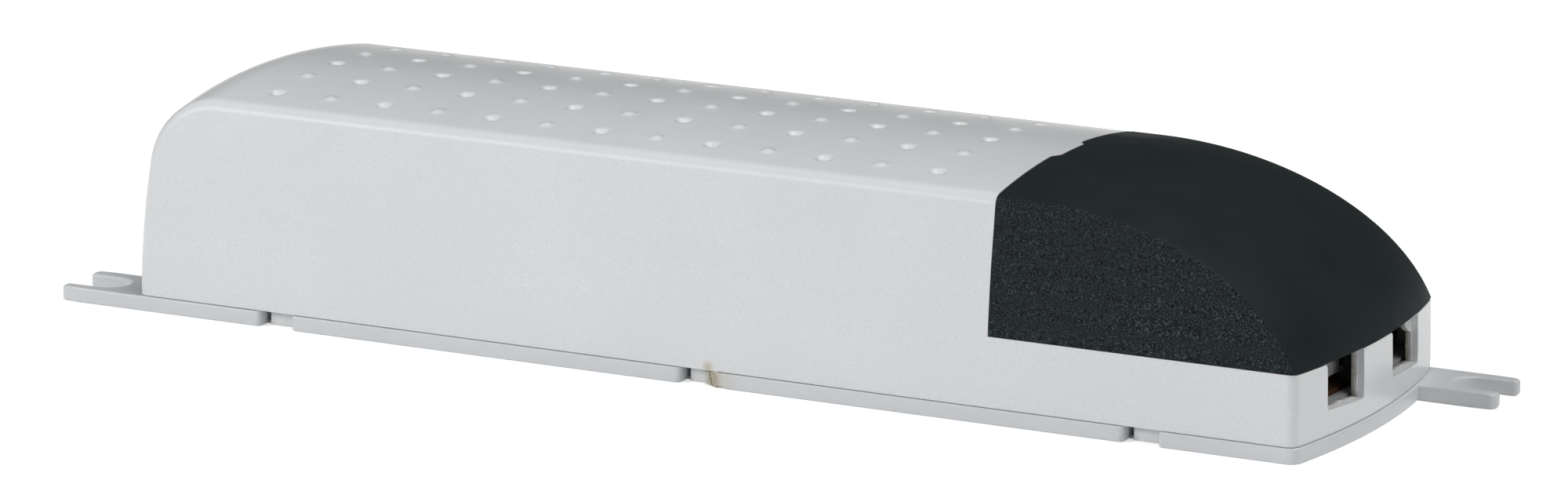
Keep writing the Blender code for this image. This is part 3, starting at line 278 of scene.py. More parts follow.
def layFloor():
    deselectAll()
    bpy.ops.mesh.primitive_plane_add(size=roomSettings["floorSize"], location=(0, 0, 0))
    floor = bpy.context.object
    floor.name = "studioFloor"
    material = bpy.data.materials.new("floorPaper")
    material.use_nodes = True
    tree = material.node_tree
    tree.nodes.clear()
    paper = addNode(tree, "BsdfDiffuse")
    paper.inputs["Color"].default_value = roomSettings["floorColour"]
    away = addNode(tree, "VectorMath", "LENGTH")
    tree.links.new(addNode(tree, "TexCoord").outputs["Object"], away.inputs[0])
    fade = addNode(tree, "MapRange")
    limits = {"From Min": "glowFrom", "From Max": "glowTo", "To Min": "glowNear", "To Max": "glowFar"}
    for socket, key in limits.items():
        fade.inputs[socket].default_value = roomSettings[key]
    tree.links.new(away.outputs["Value"], fade.inputs["Value"])
    glow, dark = addNode(tree, "Emission"), addNode(tree, "Emission")
    tree.links.new(fade.outputs[0], glow.inputs["Strength"])
    dark.inputs["Strength"].default_value = 0
    choose = addNode(tree, "MixShader")
    total = addNode(tree, "AddShader")
    end = addNode(tree, "OutputMaterial")
    for source, target in (
        (seenOrMirrored(tree), choose.inputs[0]), (dark.outputs[0], choose.inputs[1]),
        (glow.outputs[0], choose.inputs[2]), (paper.outputs[0], total.inputs[0]),
        (choose.outputs[0], total.inputs[1]), (total.outputs[0], end.inputs["Surface"]),
    ):
        tree.links.new(source, target)
    floor.data.materials.append(material)


placeCamera()
placeLamps()
lightRoom()
layFloor()
print("stage: camera, lamps and floor")


# Housing form, shared by the cover and the cap: top, ends and sides are all bowed

housing = {
    "height": 28.1 * mm,
    "endReach": 76.9 * mm,
    "sideReach": 21.4 * mm,
    "crownRadius": 112 * mm,
    "barrelRadius": 180 * mm,
    "heelRadius": 10.7 * mm,
    "heelReach": 77.25 * mm,
    "heelBow": 130 * mm,
    "flange": 1.85 * mm,
    "seatGap": 0.3 * mm,
    "blankFoot": -4 * mm,
    "blankReach": 21.0 * mm,
    "sideLevels": (5.4, 9.0, 12.6, 15.6, 18.3, 29.5),  # none of them crosses the heel
    "sideBreaks": range(-60, 78, 6),
    "far": 100 * mm,
}


def sag(across):
    return housing["crownRadius"] - math.sqrt(housing["crownRadius"] ** 2 - across ** 2)


def barrel(height):
    return max(height - housing["flange"], 0) ** 2 / (2 * housing["barrelRadius"])


def widthAt(height):
    return housing["sideReach"] - barrel(height)


def evenRows(steps):
    reach = housing["blankReach"]
    return [reach * (2 * i / steps - 1) for i in range(steps + 1)]


def clearRows(half, steps):
    # Fine rows up to a distance, and none where the side edge is rounded
    reach = housing["blankReach"]
    return [-reach] + [half * (2 * i / steps - 1) for i in range(steps + 1)] + [reach]


def heelStations(wallSteps, heelSteps):
    # (x, z, normal x, normal z) from below the closed end, up and over the heel
    radius, flange, reach, bow = [housing[key] for key in ("heelRadius", "flange", "heelReach", "heelBow")]
    centreZ = housing["height"] - radius
    turn = (centreZ - flange) / (bow - radius)
    tangentZ = centreZ + radius * math.sin(turn)
    centreX = -(reach - (tangentZ - flange) ** 2 / (2 * bow)) + radius * math.cos(turn)
    stations = [(-reach, housing["blankFoot"], -1, 0)]
    for i in range(wallSteps):
        z = flange + (tangentZ - flange) * i / wallSteps
        tilt = (z - flange) / bow
        stations.append((-(reach - (z - flange) ** 2 / (2 * bow)), z, -math.cos(tilt), math.sin(tilt)))
    for i in range(heelSteps + 1):
        a = turn + (math.pi / 2 - turn) * i / heelSteps
        across, up = math.cos(a), math.sin(a)
        stations.append((centreX - radius * across, centreZ + radius * up, -across, up))
    return stations


def closeChain(obj, chosen):
    startEdit(obj)
    mesh = bmesh.from_edit_mesh(obj.data)
    mesh.verts.ensure_lookup_table()
    for i in chosen:
        mesh.verts[i].select_set(True)
    mesh.select_flush(True)
    bmesh.update_edit_mesh(obj.data)
    bpy.ops.mesh.edge_face_add()
    endEdit()


def bentBlank(name, stations, rows, inset):
    # A grid bent over the lengthwise stations, sinking along their normals by the crown, and closed below
    deselectAll()
    bpy.ops.mesh.primitive_grid_add(x_subdivisions=len(stations) - 1, y_subdivisions=len(rows) - 1, size=2)
    blank = bpy.context.object
    blank.name = name
    lastColumn, lastRow = len(stations) - 1, len(rows) - 1
    grid = []
    for vertex in blank.data.vertices:
        column = round((vertex.co.x + 1) / 2 * lastColumn)
        row = round((vertex.co.y + 1) / 2 * lastRow)
        grid.append((column, row))
        x, z, normalX, normalZ = stations[column]
        y = rows[row] * widthAt(z) / widthAt(housing["height"])
        sink = sag(y) + inset
        vertex.co = (x - normalX * sink, y, z - normalZ * sink)
    closeChain(blank, [i for i, place in enumerate(grid) if place[1] == 0])
    closeChain(blank, [i for i, place in enumerate(grid) if place[1] == lastRow])
    closeChain(blank, [i for i, place in enumerate(grid) if place[0] in (0, lastColumn)])
    facesOut(blank)
    return blank


def sideBlock(name, inset):
    # The bowed side walls along the whole length, drawn up in steps from a box
    length, below = housing["endReach"] + 5 * mm, housing["blankFoot"] - mm
    half = housing["sideReach"] - inset
    levels = [housing["flange"]] + [level * mm for level in housing["sideLevels"]]
    block = addBox(name, (-length, -half, below), (length, half, levels[0]))
    startEdit(block, "FACE")
    pick(block, "FACE", lambda face: face.normal.z > 0.9)
    for before, after in zip(levels, levels[1:]):
        extrude((0, 0, after - before))
        narrower = (half - barrel(after)) / (half - barrel(before))
        bpy.ops.transform.resize(value=(1, narrower, 1), center_override=(0, 0, 0))
    # Short stretches keep the shading even
    for x in housing["sideBreaks"]:
        bpy.ops.mesh.select_all(action="SELECT")
        bpy.ops.mesh.bisect(plane_co=(x * mm, 0, 0), plane_no=(1, 0, 0))
    endEdit()
    facesOut(block)
    return block


def housingBlank(name, stations, rows, inset):
    return combine(bentBlank(name, stations, rows, inset), "INTERSECT", sideBlock(name + "Sides", inset))


# Finishes

# Sizes in mm. A finish gives only what differs from the plain moulding
# speckle lightens a few points of the grain in the colour: painted glints
plainMoulding = {
    "roughSpread": 0.1, "grainSize": 0.5, "grainShade": 0.05, "cloudSize": 6, "cloudShade": 0.06,
    "grainDepth": 0.004, "smoothTop": 0.0, "topGloss": 0, "paintedGlint": 0, "shine": 0.5, "stainsAndShade": (),
}

plasticFinishes = {
    "housing_plastic": {
        "colour": (0.775, 0.787, 0.8), "rough": 0.4, "grainSize": 0.22, "cloudSize": 14,
        "cloudShade": 0.015, "grainDepth": 0.03, "smoothTop": 0.93, "topGloss": 0.16, "paintedGlint": 0.07,
        "stainsAndShade": ("footMark", "torn"),
    },
    # Darker than the housing's white though it is the same plastic: painted shade on the base's front face
    "base_plastic": {
        "colour": (0.69, 0.71, 0.728), "rough": 0.42, "grainSize": 0.6, "grainShade": 0.015,
        "cloudSize": 9, "cloudShade": 0.02, "grainDepth": 0.006, "stainsAndShade": ("gateHalo", "gate"),
    },
    # The cap's strong speckle paints glints onto its dark grained cheeks
    "cap_plastic": {
        "colour": (0.0165, 0.0228, 0.0238), "rough": 0.5, "roughSpread": 0.5, "grainSize": 0.19,
        "grainShade": 1.9, "cloudSize": 9, "cloudShade": 0.05, "grainDepth": 0.09, "smoothTop": 0.95,
        "paintedGlint": 5.0, "shine": 0.09,
    },
    "board_laminate": {
        "colour": (0.16, 0.075, 0.03), "rough": 0.5, "grainSize": 0.8, "grainShade": 0.12,
        "cloudSize": 20, "cloudShade": 0.1,
    },
    "terminal_plastic": {
        "colour": (0.55, 0.57, 0.57), "rough": 0.42, "roughSpread": 0.08, "grainShade": 0.03,
        "cloudShade": 0.03,
    },
    "clamp_plastic": {
        "colour": (0.6, 0.62, 0.61), "rough": 0.42, "roughSpread": 0.08, "grainShade": 0.03,
        "cloudShade": 0.03,
    },
    "bobbin_plastic": {"colour": (0.03, 0.03, 0.032), "rough": 0.4, "grainShade": 0.15, "cloudShade": 0.1},
    "ferrite": {
        "colour": (0.05, 0.048, 0.05), "rough": 0.55, "roughSpread": 0.12, "grainSize": 0.35,
        "grainShade": 0.3, "cloudSize": 5, "cloudShade": 0.12, "grainDepth": 0.015,
    },
    "coated_core": {
        "colour": (0.1, 0.28, 0.13), "rough": 0.35, "grainSize": 0.9, "grainShade": 0.06, "cloudSize": 5,
        "cloudShade": 0.1, "grainDepth": 0.012,
    },
    "secondary_sleeve": {
        "colour": (0.55, 0.05, 0.03), "rough": 0.4, "roughSpread": 0.06, "grainSize": 0.7,
        "cloudSize": 5,
    },
    "epoxy_black": {
        "colour": (0.02, 0.02, 0.022), "rough": 0.45, "roughSpread": 0.12, "grainSize": 0.25,
        "grainShade": 0.25, "cloudSize": 4, "cloudShade": 0.1, "grainDepth": 0.008,
    },
    "film_yellow": {
        "colour": (0.62, 0.42, 0.05), "rough": 0.34, "roughSpread": 0.06, "grainSize": 0.8,
        "grainShade": 0.03, "cloudSize": 7, "cloudShade": 0.04,
    },
    "film_red": {
        "colour": (0.4, 0.05, 0.03), "rough": 0.3, "roughSpread": 0.06, "grainSize": 0.9,
        "grainDepth": 0.012,
    },
    "varistor_blue": {
        "colour": (0.05, 0.12, 0.4), "rough": 0.32, "roughSpread": 0.06, "grainSize": 1.0,
        "cloudSize": 4, "grainDepth": 0.015,
    },
    "resistor_tan": {
        "colour": (0.55, 0.4, 0.24), "rough": 0.42, "roughSpread": 0.08, "grainShade": 0.06,
        "cloudSize": 3, "grainDepth": 0.006,
    },
    "fuse_ceramic": {
        "colour": (0.7, 0.68, 0.62), "rough": 0.5, "roughSpread": 0.08, "grainSize": 0.4, "cloudSize": 5,
        "cloudShade": 0.05, "grainDepth": 0.006,
    },
}

stainsAndShade = {
    "gate": {"centre": (1.6, -21.5, 1.1), "reach": 1.9, "ragged": 1.4, "colour": (0.42, 0.385, 0.29)},
    "gateHalo": {"centre": (2.2, -21.5, 0.8), "reach": 3.4, "ragged": 2.0, "colour": (0.66, 0.65, 0.6)},
    "footMark": {"centre": (1.5, -21.4, 2.3), "reach": 0.9, "ragged": 0.9, "colour": (0.6, 0.58, 0.5)},
    # torn is painted shade: the entry jambs get darker and browner the deeper they lie behind the end wall
    "torn": {"depth": 0.75, "fade": 0.7, "nearY": 15.2, "shallow": 3.5, "aboveZ": 3.6,
             "colour": (0.36, 0.33, 0.27)},
}

metalFinishes = {
    "brass": {"colour": (0.72, 0.5, 0.18), "rough": 0.3, "dull": (0.38, 0.25, 0.1), "brush": 0.35},
    "zinc_steel": {"colour": (0.62, 0.63, 0.64), "rough": 0.34, "dull": (0.42, 0.42, 0.4), "brush": 0.3},
    "aluminium": {"colour": (0.75, 0.76, 0.77), "rough": 0.38, "dull": (0.55, 0.56, 0.57), "brush": 0.6},
    "copper_wire": {"colour": (0.66, 0.26, 0.09), "rough": 0.32, "dull": (0.42, 0.13, 0.04), "brush": 0.2},
}


def newGroup(name, takes, gives):
    # An empty node group with its sockets: (name, kind, default) to take, (name, kind) to give
    group = bpy.data.node_groups.new(name, "ShaderNodeTree")
    for label, kind, value in takes:
        socket = group.interface.new_socket(label, in_out="INPUT", socket_type="NodeSocket" + kind)
        if value is not None:
            socket.default_value = value
    for label, kind in gives:
        group.interface.new_socket(label, in_out="OUTPUT", socket_type="NodeSocket" + kind)
    start = group.nodes.new("NodeGroupInput")
    end = group.nodes.new("NodeGroupOutput")
    return group, start, end


def giveTo(tree, socket, value):
    if isinstance(value, (int, float)):
        socket.default_value = value
    else:
        tree.links.new(value, socket)


def doMath(tree, operation, first, second, clamp=False):
    node = addNode(tree, "Math")
    node.operation = operation
    node.use_clamp = clamp
    for socket, value in zip(node.inputs, (first, second)):
        giveTo(tree, socket, value)
    return node.outputs[0]


def sumsIn(tree):
    # The four sums, written into one group
    def sumOf(operation):
        return lambda first, second, clamp=False: doMath(tree, operation, first, second, clamp)

    return [sumOf(operation) for operation in ("MULTIPLY", "DIVIDE", "ADD", "SUBTRACT")]


def noiseAt(tree, vector, scale, detail=2.0, roughness=0.5):
    node = addNode(tree, "TexNoise")
    node.inputs["Detail"].default_value = detail
    node.inputs["Roughness"].default_value = roughness
    tree.links.new(vector, node.inputs["Vector"])
    giveTo(tree, node.inputs["Scale"], scale)
    return node.outputs["Fac"]


def shadeColour(tree, colour, factor):
    node = addNode(tree, "VectorMath", "SCALE")
    tree.links.new(colour, node.inputs[0])
    tree.links.new(factor, node.inputs["Scale"])
    return node.outputs[0]


grainForm = {
    "sideFrom": 0.55,  # how far a face has to turn to the side before it carries the grain
    "sideRise": 4.0,
    "outerFrom": 19.6 * mm,
    "litFrom": 0.585,
    "litRise": 9.0,
    "crowdFrom": 0.3,
    "crowdRise": 2.6,
    "contrast": 4.0,
}


def makeMouldGrain():
    # The fine grain of a spark-eroded mould, weaker on the faces that look up, faint clouds, and painted
    # glints on a few points of the grain
    group, start, end = newGroup(
        "mouldGrain",
        [("Vector", "Vector", None), ("Normal", "Vector", None), ("Colour", "Color", (1, 1, 1, 1)),
         ("Grain Size", "Float", 0.3), ("Grain Shade", "Float", 0.02), ("Cloud Size", "Float", 10.0),
         ("Cloud Shade", "Float", 0.02), ("Rough", "Float", 0.5), ("Rough Spread", "Float", 0.1),
         ("Smooth Top", "Float", 0.0), ("Top Gloss", "Float", 0.0), ("Painted Glint", "Float", 0.0)],
        [("Colour", "Color"), ("Roughness", "Float"), ("Height", "Float")],
    )
    times, over, plus, minus = sumsIn(group)
    takes = start.outputs
    grainScale = over(1 / mm, takes["Grain Size"])
    cloudScale = over(1 / mm, takes["Cloud Size"])
    grain = noiseAt(group, takes["Vector"], grainScale, 3.0, 0.6)
    cloud = noiseAt(group, takes["Vector"], cloudScale, 2.0, 0.5)
    split = addNode(group, "SeparateXYZ")
    group.links.new(takes["Normal"], split.inputs[0])
    sideways = doMath(group, "ABSOLUTE", split.outputs["Y"], 0)
    facing = times(minus(sideways, grainForm["sideFrom"]), grainForm["sideRise"], clamp=True)
    place = addNode(group, "SeparateXYZ")
    group.links.new(takes["Vector"], place.inputs[0])
    distance = doMath(group, "ABSOLUTE", place.outputs["Y"], 0)
    outer = doMath(group, "GREATER_THAN", distance, grainForm["outerFrom"])
    side = times(facing, outer)
    top = minus(1.0, side)
    keep = minus(1.0, times(top, takes["Smooth Top"]))
    grainPart = times(minus(grain, 0.5), keep)
    cloudPart = minus(cloud, 0.5)
    # Painted glints: a few points of the grain are lightened in the colour as if they caught the light,
    # more of them in some places than in others
    lit = times(minus(grain, grainForm["litFrom"]), grainForm["litRise"], clamp=True)
    crowd = times(minus(cloud, grainForm["crowdFrom"]), grainForm["crowdRise"], clamp=True)
    points = times(times(lit, crowd), keep)
    tones = plus(
        times(grainPart, times(takes["Grain Shade"], grainForm["contrast"])),
        times(cloudPart, times(takes["Cloud Shade"], grainForm["contrast"])),
    )
    # The speckle lightens the colour at these points: painted glints
    paintedGlints = times(points, takes["Painted Glint"])
    shade = plus(plus(1.0, tones), paintedGlints)
    group.links.new(shadeColour(group, takes["Colour"], shade), end.inputs["Colour"])
    spread = times(plus(grainPart, cloudPart), takes["Rough Spread"])
    polished = minus(takes["Rough"], times(top, takes["Top Gloss"]))
    group.links.new(plus(polished, spread), end.inputs["Roughness"])
    group.links.new(plus(grainPart, 0.5), end.inputs["Height"])
    return group


patinaForm = {
    "stretch": (0.12, 1, 1),
    "brushScale": 4000,
    "patchScale": 420,
    "patchFrom": 0.48,
    "patchRise": 5.0,
    "patchRough": 0.15,
    "depth": 0.004,
}


def makeMetalPatina():
    # Fine brushing along X and dull patches
    group, start, end = newGroup(
        "metalPatina",
        [("Vector", "Vector", None), ("Colour", "Color", (1, 1, 1, 1)),
         ("Dull Colour", "Color", (1, 1, 1, 1)), ("Rough", "Float", 0.3), ("Brush", "Float", 0.3)],
        [("Colour", "Color"), ("Roughness", "Float"), ("Height", "Float")],
    )
    times, over, plus, minus = sumsIn(group)
    takes = start.outputs
    stretch = addNode(group, "Mapping")
    stretch.inputs["Scale"].default_value = patinaForm["stretch"]
    group.links.new(takes["Vector"], stretch.inputs["Vector"])
    brushed = noiseAt(group, stretch.outputs[0], patinaForm["brushScale"], 3.0, 0.6)
    patch = noiseAt(group, takes["Vector"], patinaForm["patchScale"], 4.0, 0.6)
    mask = times(minus(patch, patinaForm["patchFrom"]), patinaForm["patchRise"], clamp=True)
    blend = addNode(group, "Mix")
    blend.data_type = "RGBA"
    group.links.new(mask, blend.inputs["Factor"])
    group.links.new(takes["Colour"], blend.inputs["A"])
    group.links.new(takes["Dull Colour"], blend.inputs["B"])
    group.links.new(blend.outputs["Result"], end.inputs["Colour"])
    rougher = plus(takes["Rough"], times(mask, patinaForm["patchRough"]))
    scratch = times(minus(brushed, 0.5), takes["Brush"])
    group.links.new(plus(rougher, scratch), end.inputs["Roughness"])
    group.links.new(brushed, end.inputs["Height"])
    return group


stainAndShadeForm = {"wobbleScale": 0.9, "edgeRise": 1.6, "entryShadeScale": 1.1, "entryShadeRagged": 0.7}


def makeStainMask():
    # A ragged spot round one place, 1 in the middle
    group, start, end = newGroup(
        "stainMask",
        [("Vector", "Vector", None), ("Centre", "Vector", (0, 0, 0)), ("Reach", "Float", 1.0),
         ("Ragged", "Float", 0.5)],
        [("Mask", "Float")],
    )
    times, over, plus, minus = sumsIn(group)
    takes = start.outputs
    apart = addNode(group, "VectorMath", "DISTANCE")
    group.links.new(takes["Vector"], apart.inputs[0])
    group.links.new(takes["Centre"], apart.inputs[1])
    inMillimetres = over(apart.outputs["Value"], mm)
    wobble = minus(noiseAt(group, takes["Vector"], stainAndShadeForm["wobbleScale"] / mm, 4.0, 0.65), 0.5)
    reached = plus(inMillimetres, times(wobble, takes["Ragged"]))
    fade = minus(1.0, over(reached, takes["Reach"]))
    mask = times(fade, stainAndShadeForm["edgeRise"], clamp=True)
    group.links.new(mask, end.inputs["Mask"])
    return group


def makeEntryShadeMask():
    # Painted shade for the wire entries: how far a point lies behind the bowed end wall, only round the
    # entries, as a mask
    group, start, end = newGroup(
        "entryShadeMask",
        [("Vector", "Vector", None), ("Depth", "Float", 0.6), ("Fade", "Float", 0.6)],
        [("Mask", "Float")],
    )
    times, over, plus, minus = sumsIn(group)
    takes = start.outputs
    split = addNode(group, "SeparateXYZ")
    group.links.new(takes["Vector"], split.inputs[0])
    x, y, z = [over(split.outputs[axis], mm) for axis in "XYZ"]
    crown = over(times(y, y), 2 * housing["crownRadius"] / mm)
    above = minus(z, housing["flange"] / mm)
    bow = over(times(above, above), 2 * housing["barrelRadius"] / mm)
    surface = minus(minus(housing["endReach"] / mm, crown), bow)
    depth = minus(surface, x)
    wobble = minus(noiseAt(group, takes["Vector"], stainAndShadeForm["entryShadeScale"] / mm, 3.0, 0.6), 0.5)
    ragged = plus(depth, times(wobble, stainAndShadeForm["entryShadeRagged"]))
    past = over(minus(ragged, takes["Depth"]), takes["Fade"])
    mask = times(past, 1.0, clamp=True)
    near = doMath(group, "LESS_THAN", doMath(group, "ABSOLUTE", y, 0), stainsAndShade["torn"]["nearY"])
    shallow = doMath(group, "LESS_THAN", depth, stainsAndShade["torn"]["shallow"])
    low = doMath(group, "GREATER_THAN", z, stainsAndShade["torn"]["aboveZ"])
    kept = times(times(near, shallow), low)
    group.links.new(times(mask, kept), end.inputs["Mask"])
    return group


stainMask = makeStainMask()
entryShadeMask = makeEntryShadeMask()
mouldGrain = makeMouldGrain()
metalPatina = makeMetalPatina()


def newMaterial(name):
    material = bpy.data.materials.new(name)
    material.use_nodes = True
    tree = material.node_tree
    return material, tree, tree.nodes["Principled BSDF"]


def addGroup(tree, group, vector):
    node = addNode(tree, "Group")
    node.node_tree = group
    tree.links.new(vector, node.inputs["Vector"])
    return node


def addBump(tree, height, shader, depth):
    bump = addNode(tree, "Bump")
    bump.inputs["Strength"].default_value = 1.0
    bump.inputs["Distance"].default_value = depth * mm
    tree.links.new(height, bump.inputs["Height"])
    tree.links.new(bump.outputs["Normal"], shader.inputs["Normal"])


def blendColour(tree, colour, other, mask):
    blend = addNode(tree, "Mix")
    blend.data_type = "RGBA"
    tree.links.new(mask, blend.inputs["Factor"])
    tree.links.new(colour, blend.inputs["A"])
    blend.inputs["B"].default_value = (*other, 1)
    return blend.outputs["Result"]


def addStainsAndShade(tree, vector, colour, names):
    # Each mark is blended into the colour: real stains, and the painted shade of the wire entries
    for name in names:
        values = stainsAndShade[name]
        spot = addGroup(tree, stainMask if "centre" in values else entryShadeMask, vector)
        if "centre" in values:
            spot.inputs["Centre"].default_value = [part * mm for part in values["centre"]]
            spot.inputs["Reach"].default_value = values["reach"]
            spot.inputs["Ragged"].default_value = values["ragged"]
        else:
            spot.inputs["Depth"].default_value = values["depth"]
            spot.inputs["Fade"].default_value = values["fade"]
        colour = blendColour(tree, colour, values["colour"], spot.outputs["Mask"])
    return colour


def mouldedPlastic(name, given):
    values = {**plainMoulding, **given}
    material, tree, shader = newMaterial(name)
    coords = addNode(tree, "TexCoord")
    grain = addGroup(tree, mouldGrain, coords.outputs["Object"])
    tree.links.new(coords.outputs["Normal"], grain.inputs["Normal"])
    grain.inputs["Colour"].default_value = (*values["colour"], 1)
    settings = {
        "Grain Size": "grainSize", "Grain Shade": "grainShade", "Cloud Size": "cloudSize",
        "Cloud Shade": "cloudShade", "Rough": "rough", "Rough Spread": "roughSpread",
        "Smooth Top": "smoothTop", "Top Gloss": "topGloss", "Painted Glint": "paintedGlint",
    }
    for socket, key in settings.items():
        grain.inputs[socket].default_value = values[key]
    colour = addStainsAndShade(tree, coords.outputs["Object"], grain.outputs["Colour"], values["stainsAndShade"])
    tree.links.new(colour, shader.inputs["Base Color"])
    tree.links.new(grain.outputs["Roughness"], shader.inputs["Roughness"])
    shader.inputs["Specular IOR Level"].default_value = values["shine"]
    addBump(tree, grain.outputs["Height"], shader, values["grainDepth"])
    return material


def bareMetal(name, values):
    material, tree, shader = newMaterial(name)
    coords = addNode(tree, "TexCoord")
    patina = addGroup(tree, metalPatina, coords.outputs["Object"])
    patina.inputs["Colour"].default_value = (*values["colour"], 1)
    patina.inputs["Dull Colour"].default_value = (*values["dull"], 1)
    patina.inputs["Rough"].default_value = values["rough"]
    patina.inputs["Brush"].default_value = values["brush"]
    tree.links.new(patina.outputs["Colour"], shader.inputs["Base Color"])
    tree.links.new(patina.outputs["Roughness"], shader.inputs["Roughness"])
    shader.inputs["Metallic"].default_value = 1
    addBump(tree, patina.outputs["Height"], shader, patinaForm["depth"])
    return material


materials = {name: mouldedPlastic(name, values) for name, values in plasticFinishes.items()}
materials.update({name: bareMetal(name, values) for name, values in metalFinishes.items()})
print("stage: finishes")


# Cover

cover = {
    "wall": 1.9 * mm,
    "edge": 1.15 * mm,
    "edgeSegments": 6,
    "footGap": 0.09 * mm,
    "seam": 36.9 * mm,
    "seamGap": 0.14 * mm,
    "lowWallTop": 10.2 * mm,
    "partitionSetback": 1.5 * mm,
    "partitionThickness": 2.0 * mm,
    "partitionFoot": 5.3 * mm,
    "tabReach": 0.8 * mm,
    "tabWidth": 6.5 * mm,
    "tabSlope": 1.1 * mm,
    "ledgeX": 41.5 * mm,
    "ledgeHalf": 4.0 * mm,
    "ledgeBottom": 7.9 * mm,
    "ledgeHeight": 1.3 * mm,
    "ledgeReach": 0.9 * mm,
    "notchSpacing": 56.2 * mm,
    "notchHalf": 2.15 * mm,
    "legBack": 19.55 * mm,
    "legThickness": 0.6 * mm,
    "legFoot": 0.05 * mm,
    "legExtra": 1.45 * mm,
    "legEdge": 0.12 * mm,
}

stud = {
    "pitch": 7.25 * mm,
    "columns": 13,
    "rows": 5,
    "startX": -59.8 * mm,
    "cellSteps": 10,  # squares along a cell's side
    "openSteps": 8,  # of them cut out for the round stud
    "weld": 0.01 * mm,
    "pit": [(1.5, 0), (1.15, -0.012), (0.98, -0.05), (0.88, -0.13), (0.78, -0.24), (0.62, -0.36),
            (0.4, -0.45), (0.18, -0.485)],
    "pip": [(1.5, 0), (1.0, 0.012), (0.82, 0.05), (0.7, 0.115), (0.55, 0.19), (0.37, 0.25), (0.19, 0.285),
            (0.08, 0.293)],
}


def topStations():
    # The top is stepped as finely as the cells of the studs, so that they can be let in
    start = stud["startX"] - stud["pitch"] / 2
    step = stud["pitch"] / stud["cellSteps"]
    count = stud["columns"] * stud["cellSteps"]
    places = [start - 2 * mm] + [start + step * i for i in range(count + 1)]
    places.append(start + step * count + 3 * mm)
    return [(x, housing["height"], 0, 1) for x in places]


def endStations():
    # Between the top and the end wall the line runs through the space of the cap
    reach, low, height = housing["endReach"], cover["lowWallTop"], housing["height"]
    places = [((cover["seam"] + reach) / 2, height, 0, 1), (reach - barrel(low), (low + height) / 2, 1, 0)]
    wallSteps = 4
    for i in range(wallSteps + 1):
        z = low + (housing["flange"] - low) * i / wallSteps
        places.append((reach - barrel(z), z, 1, 0))
    return places + [(reach, housing["blankFoot"], 1, 0)]


def coverBlank(name, inset):
    return housingBlank(name, heelStations(4, 10) + endStations(), evenRows(16), inset)


def baySpace(name, seam, bottom):
    # The space of the cap: past the seam with its tab, above the low walls
    half, reach, slope = cover["tabWidth"] / 2, cover["tabReach"], cover["tabSlope"]
    far = housing["far"]
    outline = [(seam, -far), (seam, -half - slope), (seam + reach, -half), (seam + reach, half),
               (seam, half + slope), (seam, far), (far, far), (far, -far)]
    return addPrism(name, outline, "Z", bottom, far)


def studCell(kind):
    # One square of the top: the middle is cut out, drawn in to a circle, and on ring by ring
    deselectAll()
    steps, opened = stud["cellSteps"], stud["openSteps"]
    bpy.ops.mesh.primitive_grid_add(x_subdivisions=steps, y_subdivisions=steps, size=stud["pitch"])
    cell = bpy.context.object
    cell.name = kind + "Cell"
    reach = stud["pitch"] / 2 * opened / steps
    startEdit(cell, "FACE")
    pick(cell, "FACE", lambda face: max(abs(part) for part in face.calc_center_median().xy) < reach)
    bpy.ops.mesh.delete(type="FACE")
    rings = [(radius * mm, height * mm) for radius, height in stud[kind]]
    inside = reach * 1.001
    pick(cell, "EDGE", lambda edge: edge.is_boundary and all(
        max(abs(vertex.co.x), abs(vertex.co.y)) < inside for vertex in edge.verts))
    bpy.ops.mesh.extrude_edges_move(TRANSFORM_OT_translate={"value": (0, 0, 0)})
    mesh = bmesh.from_edit_mesh(cell.data)
    for vertex in mesh.verts:
        if vertex.select:
            vertex.co.xy = vertex.co.xy.normalized() * rings[0][0]
    bmesh.update_edit_mesh(cell.data)
    for before, after in zip(rings, rings[1:]):
        bpy.ops.mesh.extrude_edges_move(TRANSFORM_OT_translate={"value": (0, 0, after[1] - before[1])})
        scale = after[0] / before[0]
        bpy.ops.transform.resize(value=(scale, scale, 1), center_override=(0, 0, 0))
    bpy.ops.mesh.merge(type="CENTER")
    endEdit()
    return cell


def studPatch():
    # The cells side by side, a pit and a pip by turns, laid on the crown
    cells = {kind: studCell(kind) for kind in ("pit", "pip")}
    copies = []
    for column in range(stud["columns"]):
        for row in range(stud["rows"]):
            kind = "pip" if (column + row) % 2 else "pit"
            copy = bpy.data.objects.new("cellCopy", cells[kind].data.copy())
            intoScene(copy)
            y = (row - (stud["rows"] - 1) / 2) * stud["pitch"]
            copy.data.transform(Matrix.Translation((stud["startX"] + column * stud["pitch"], y, 0)))
            copies.append(copy)
    deselectAll()
    for copy in copies:
        copy.select_set(True)
    bpy.context.view_layer.objects.active = copies[0]
    bpy.ops.object.join()
    patch = bpy.context.object
    for cell in cells.values():
        bpy.data.objects.remove(cell, do_unlink=True)
    for vertex in patch.data.vertices:
        vertex.co.z += housing["height"] - sag(vertex.co.y)
    return patch


def letInStuds(body):
    # The plain squares of the top give way to the cells
    startX = stud["startX"] - stud["pitch"] / 2
    endX = startX + stud["pitch"] * stud["columns"]
    half = stud["pitch"] * stud["rows"] / 2
    skin = housing["height"] - cover["wall"] / 2

    def onTop(face):
        x, y, z = face.calc_center_median()
        return startX < x < endX and abs(y) < half and z > skin - sag(y)

    startEdit(body, "FACE")
    pick(body, "FACE", onTop)
    bpy.ops.mesh.delete(type="FACE")
    endEdit()
    patch = studPatch()
    deselectAll()
    patch.select_set(True)
    body.select_set(True)
    bpy.context.view_layer.objects.active = body
    bpy.ops.object.join()
    mergePoints(body, stud["weld"])
    facesOut(body)


def snapLeg(side, x):
    reach = cover["notchHalf"] - housing["seatGap"]
    lowX, highX = sorted((x + side * cover["legExtra"], x - side * reach))
    back = cover["legBack"]
    lowY, highY = pair(side, back, back + cover["legThickness"])
    top = housing["flange"] + housing["seatGap"] + mm
    leg = addBox("leg", (lowX, lowY, cover["legFoot"]), (highX, highY, top))
    roundEdges(leg, cover["legEdge"], 2)
    return leg


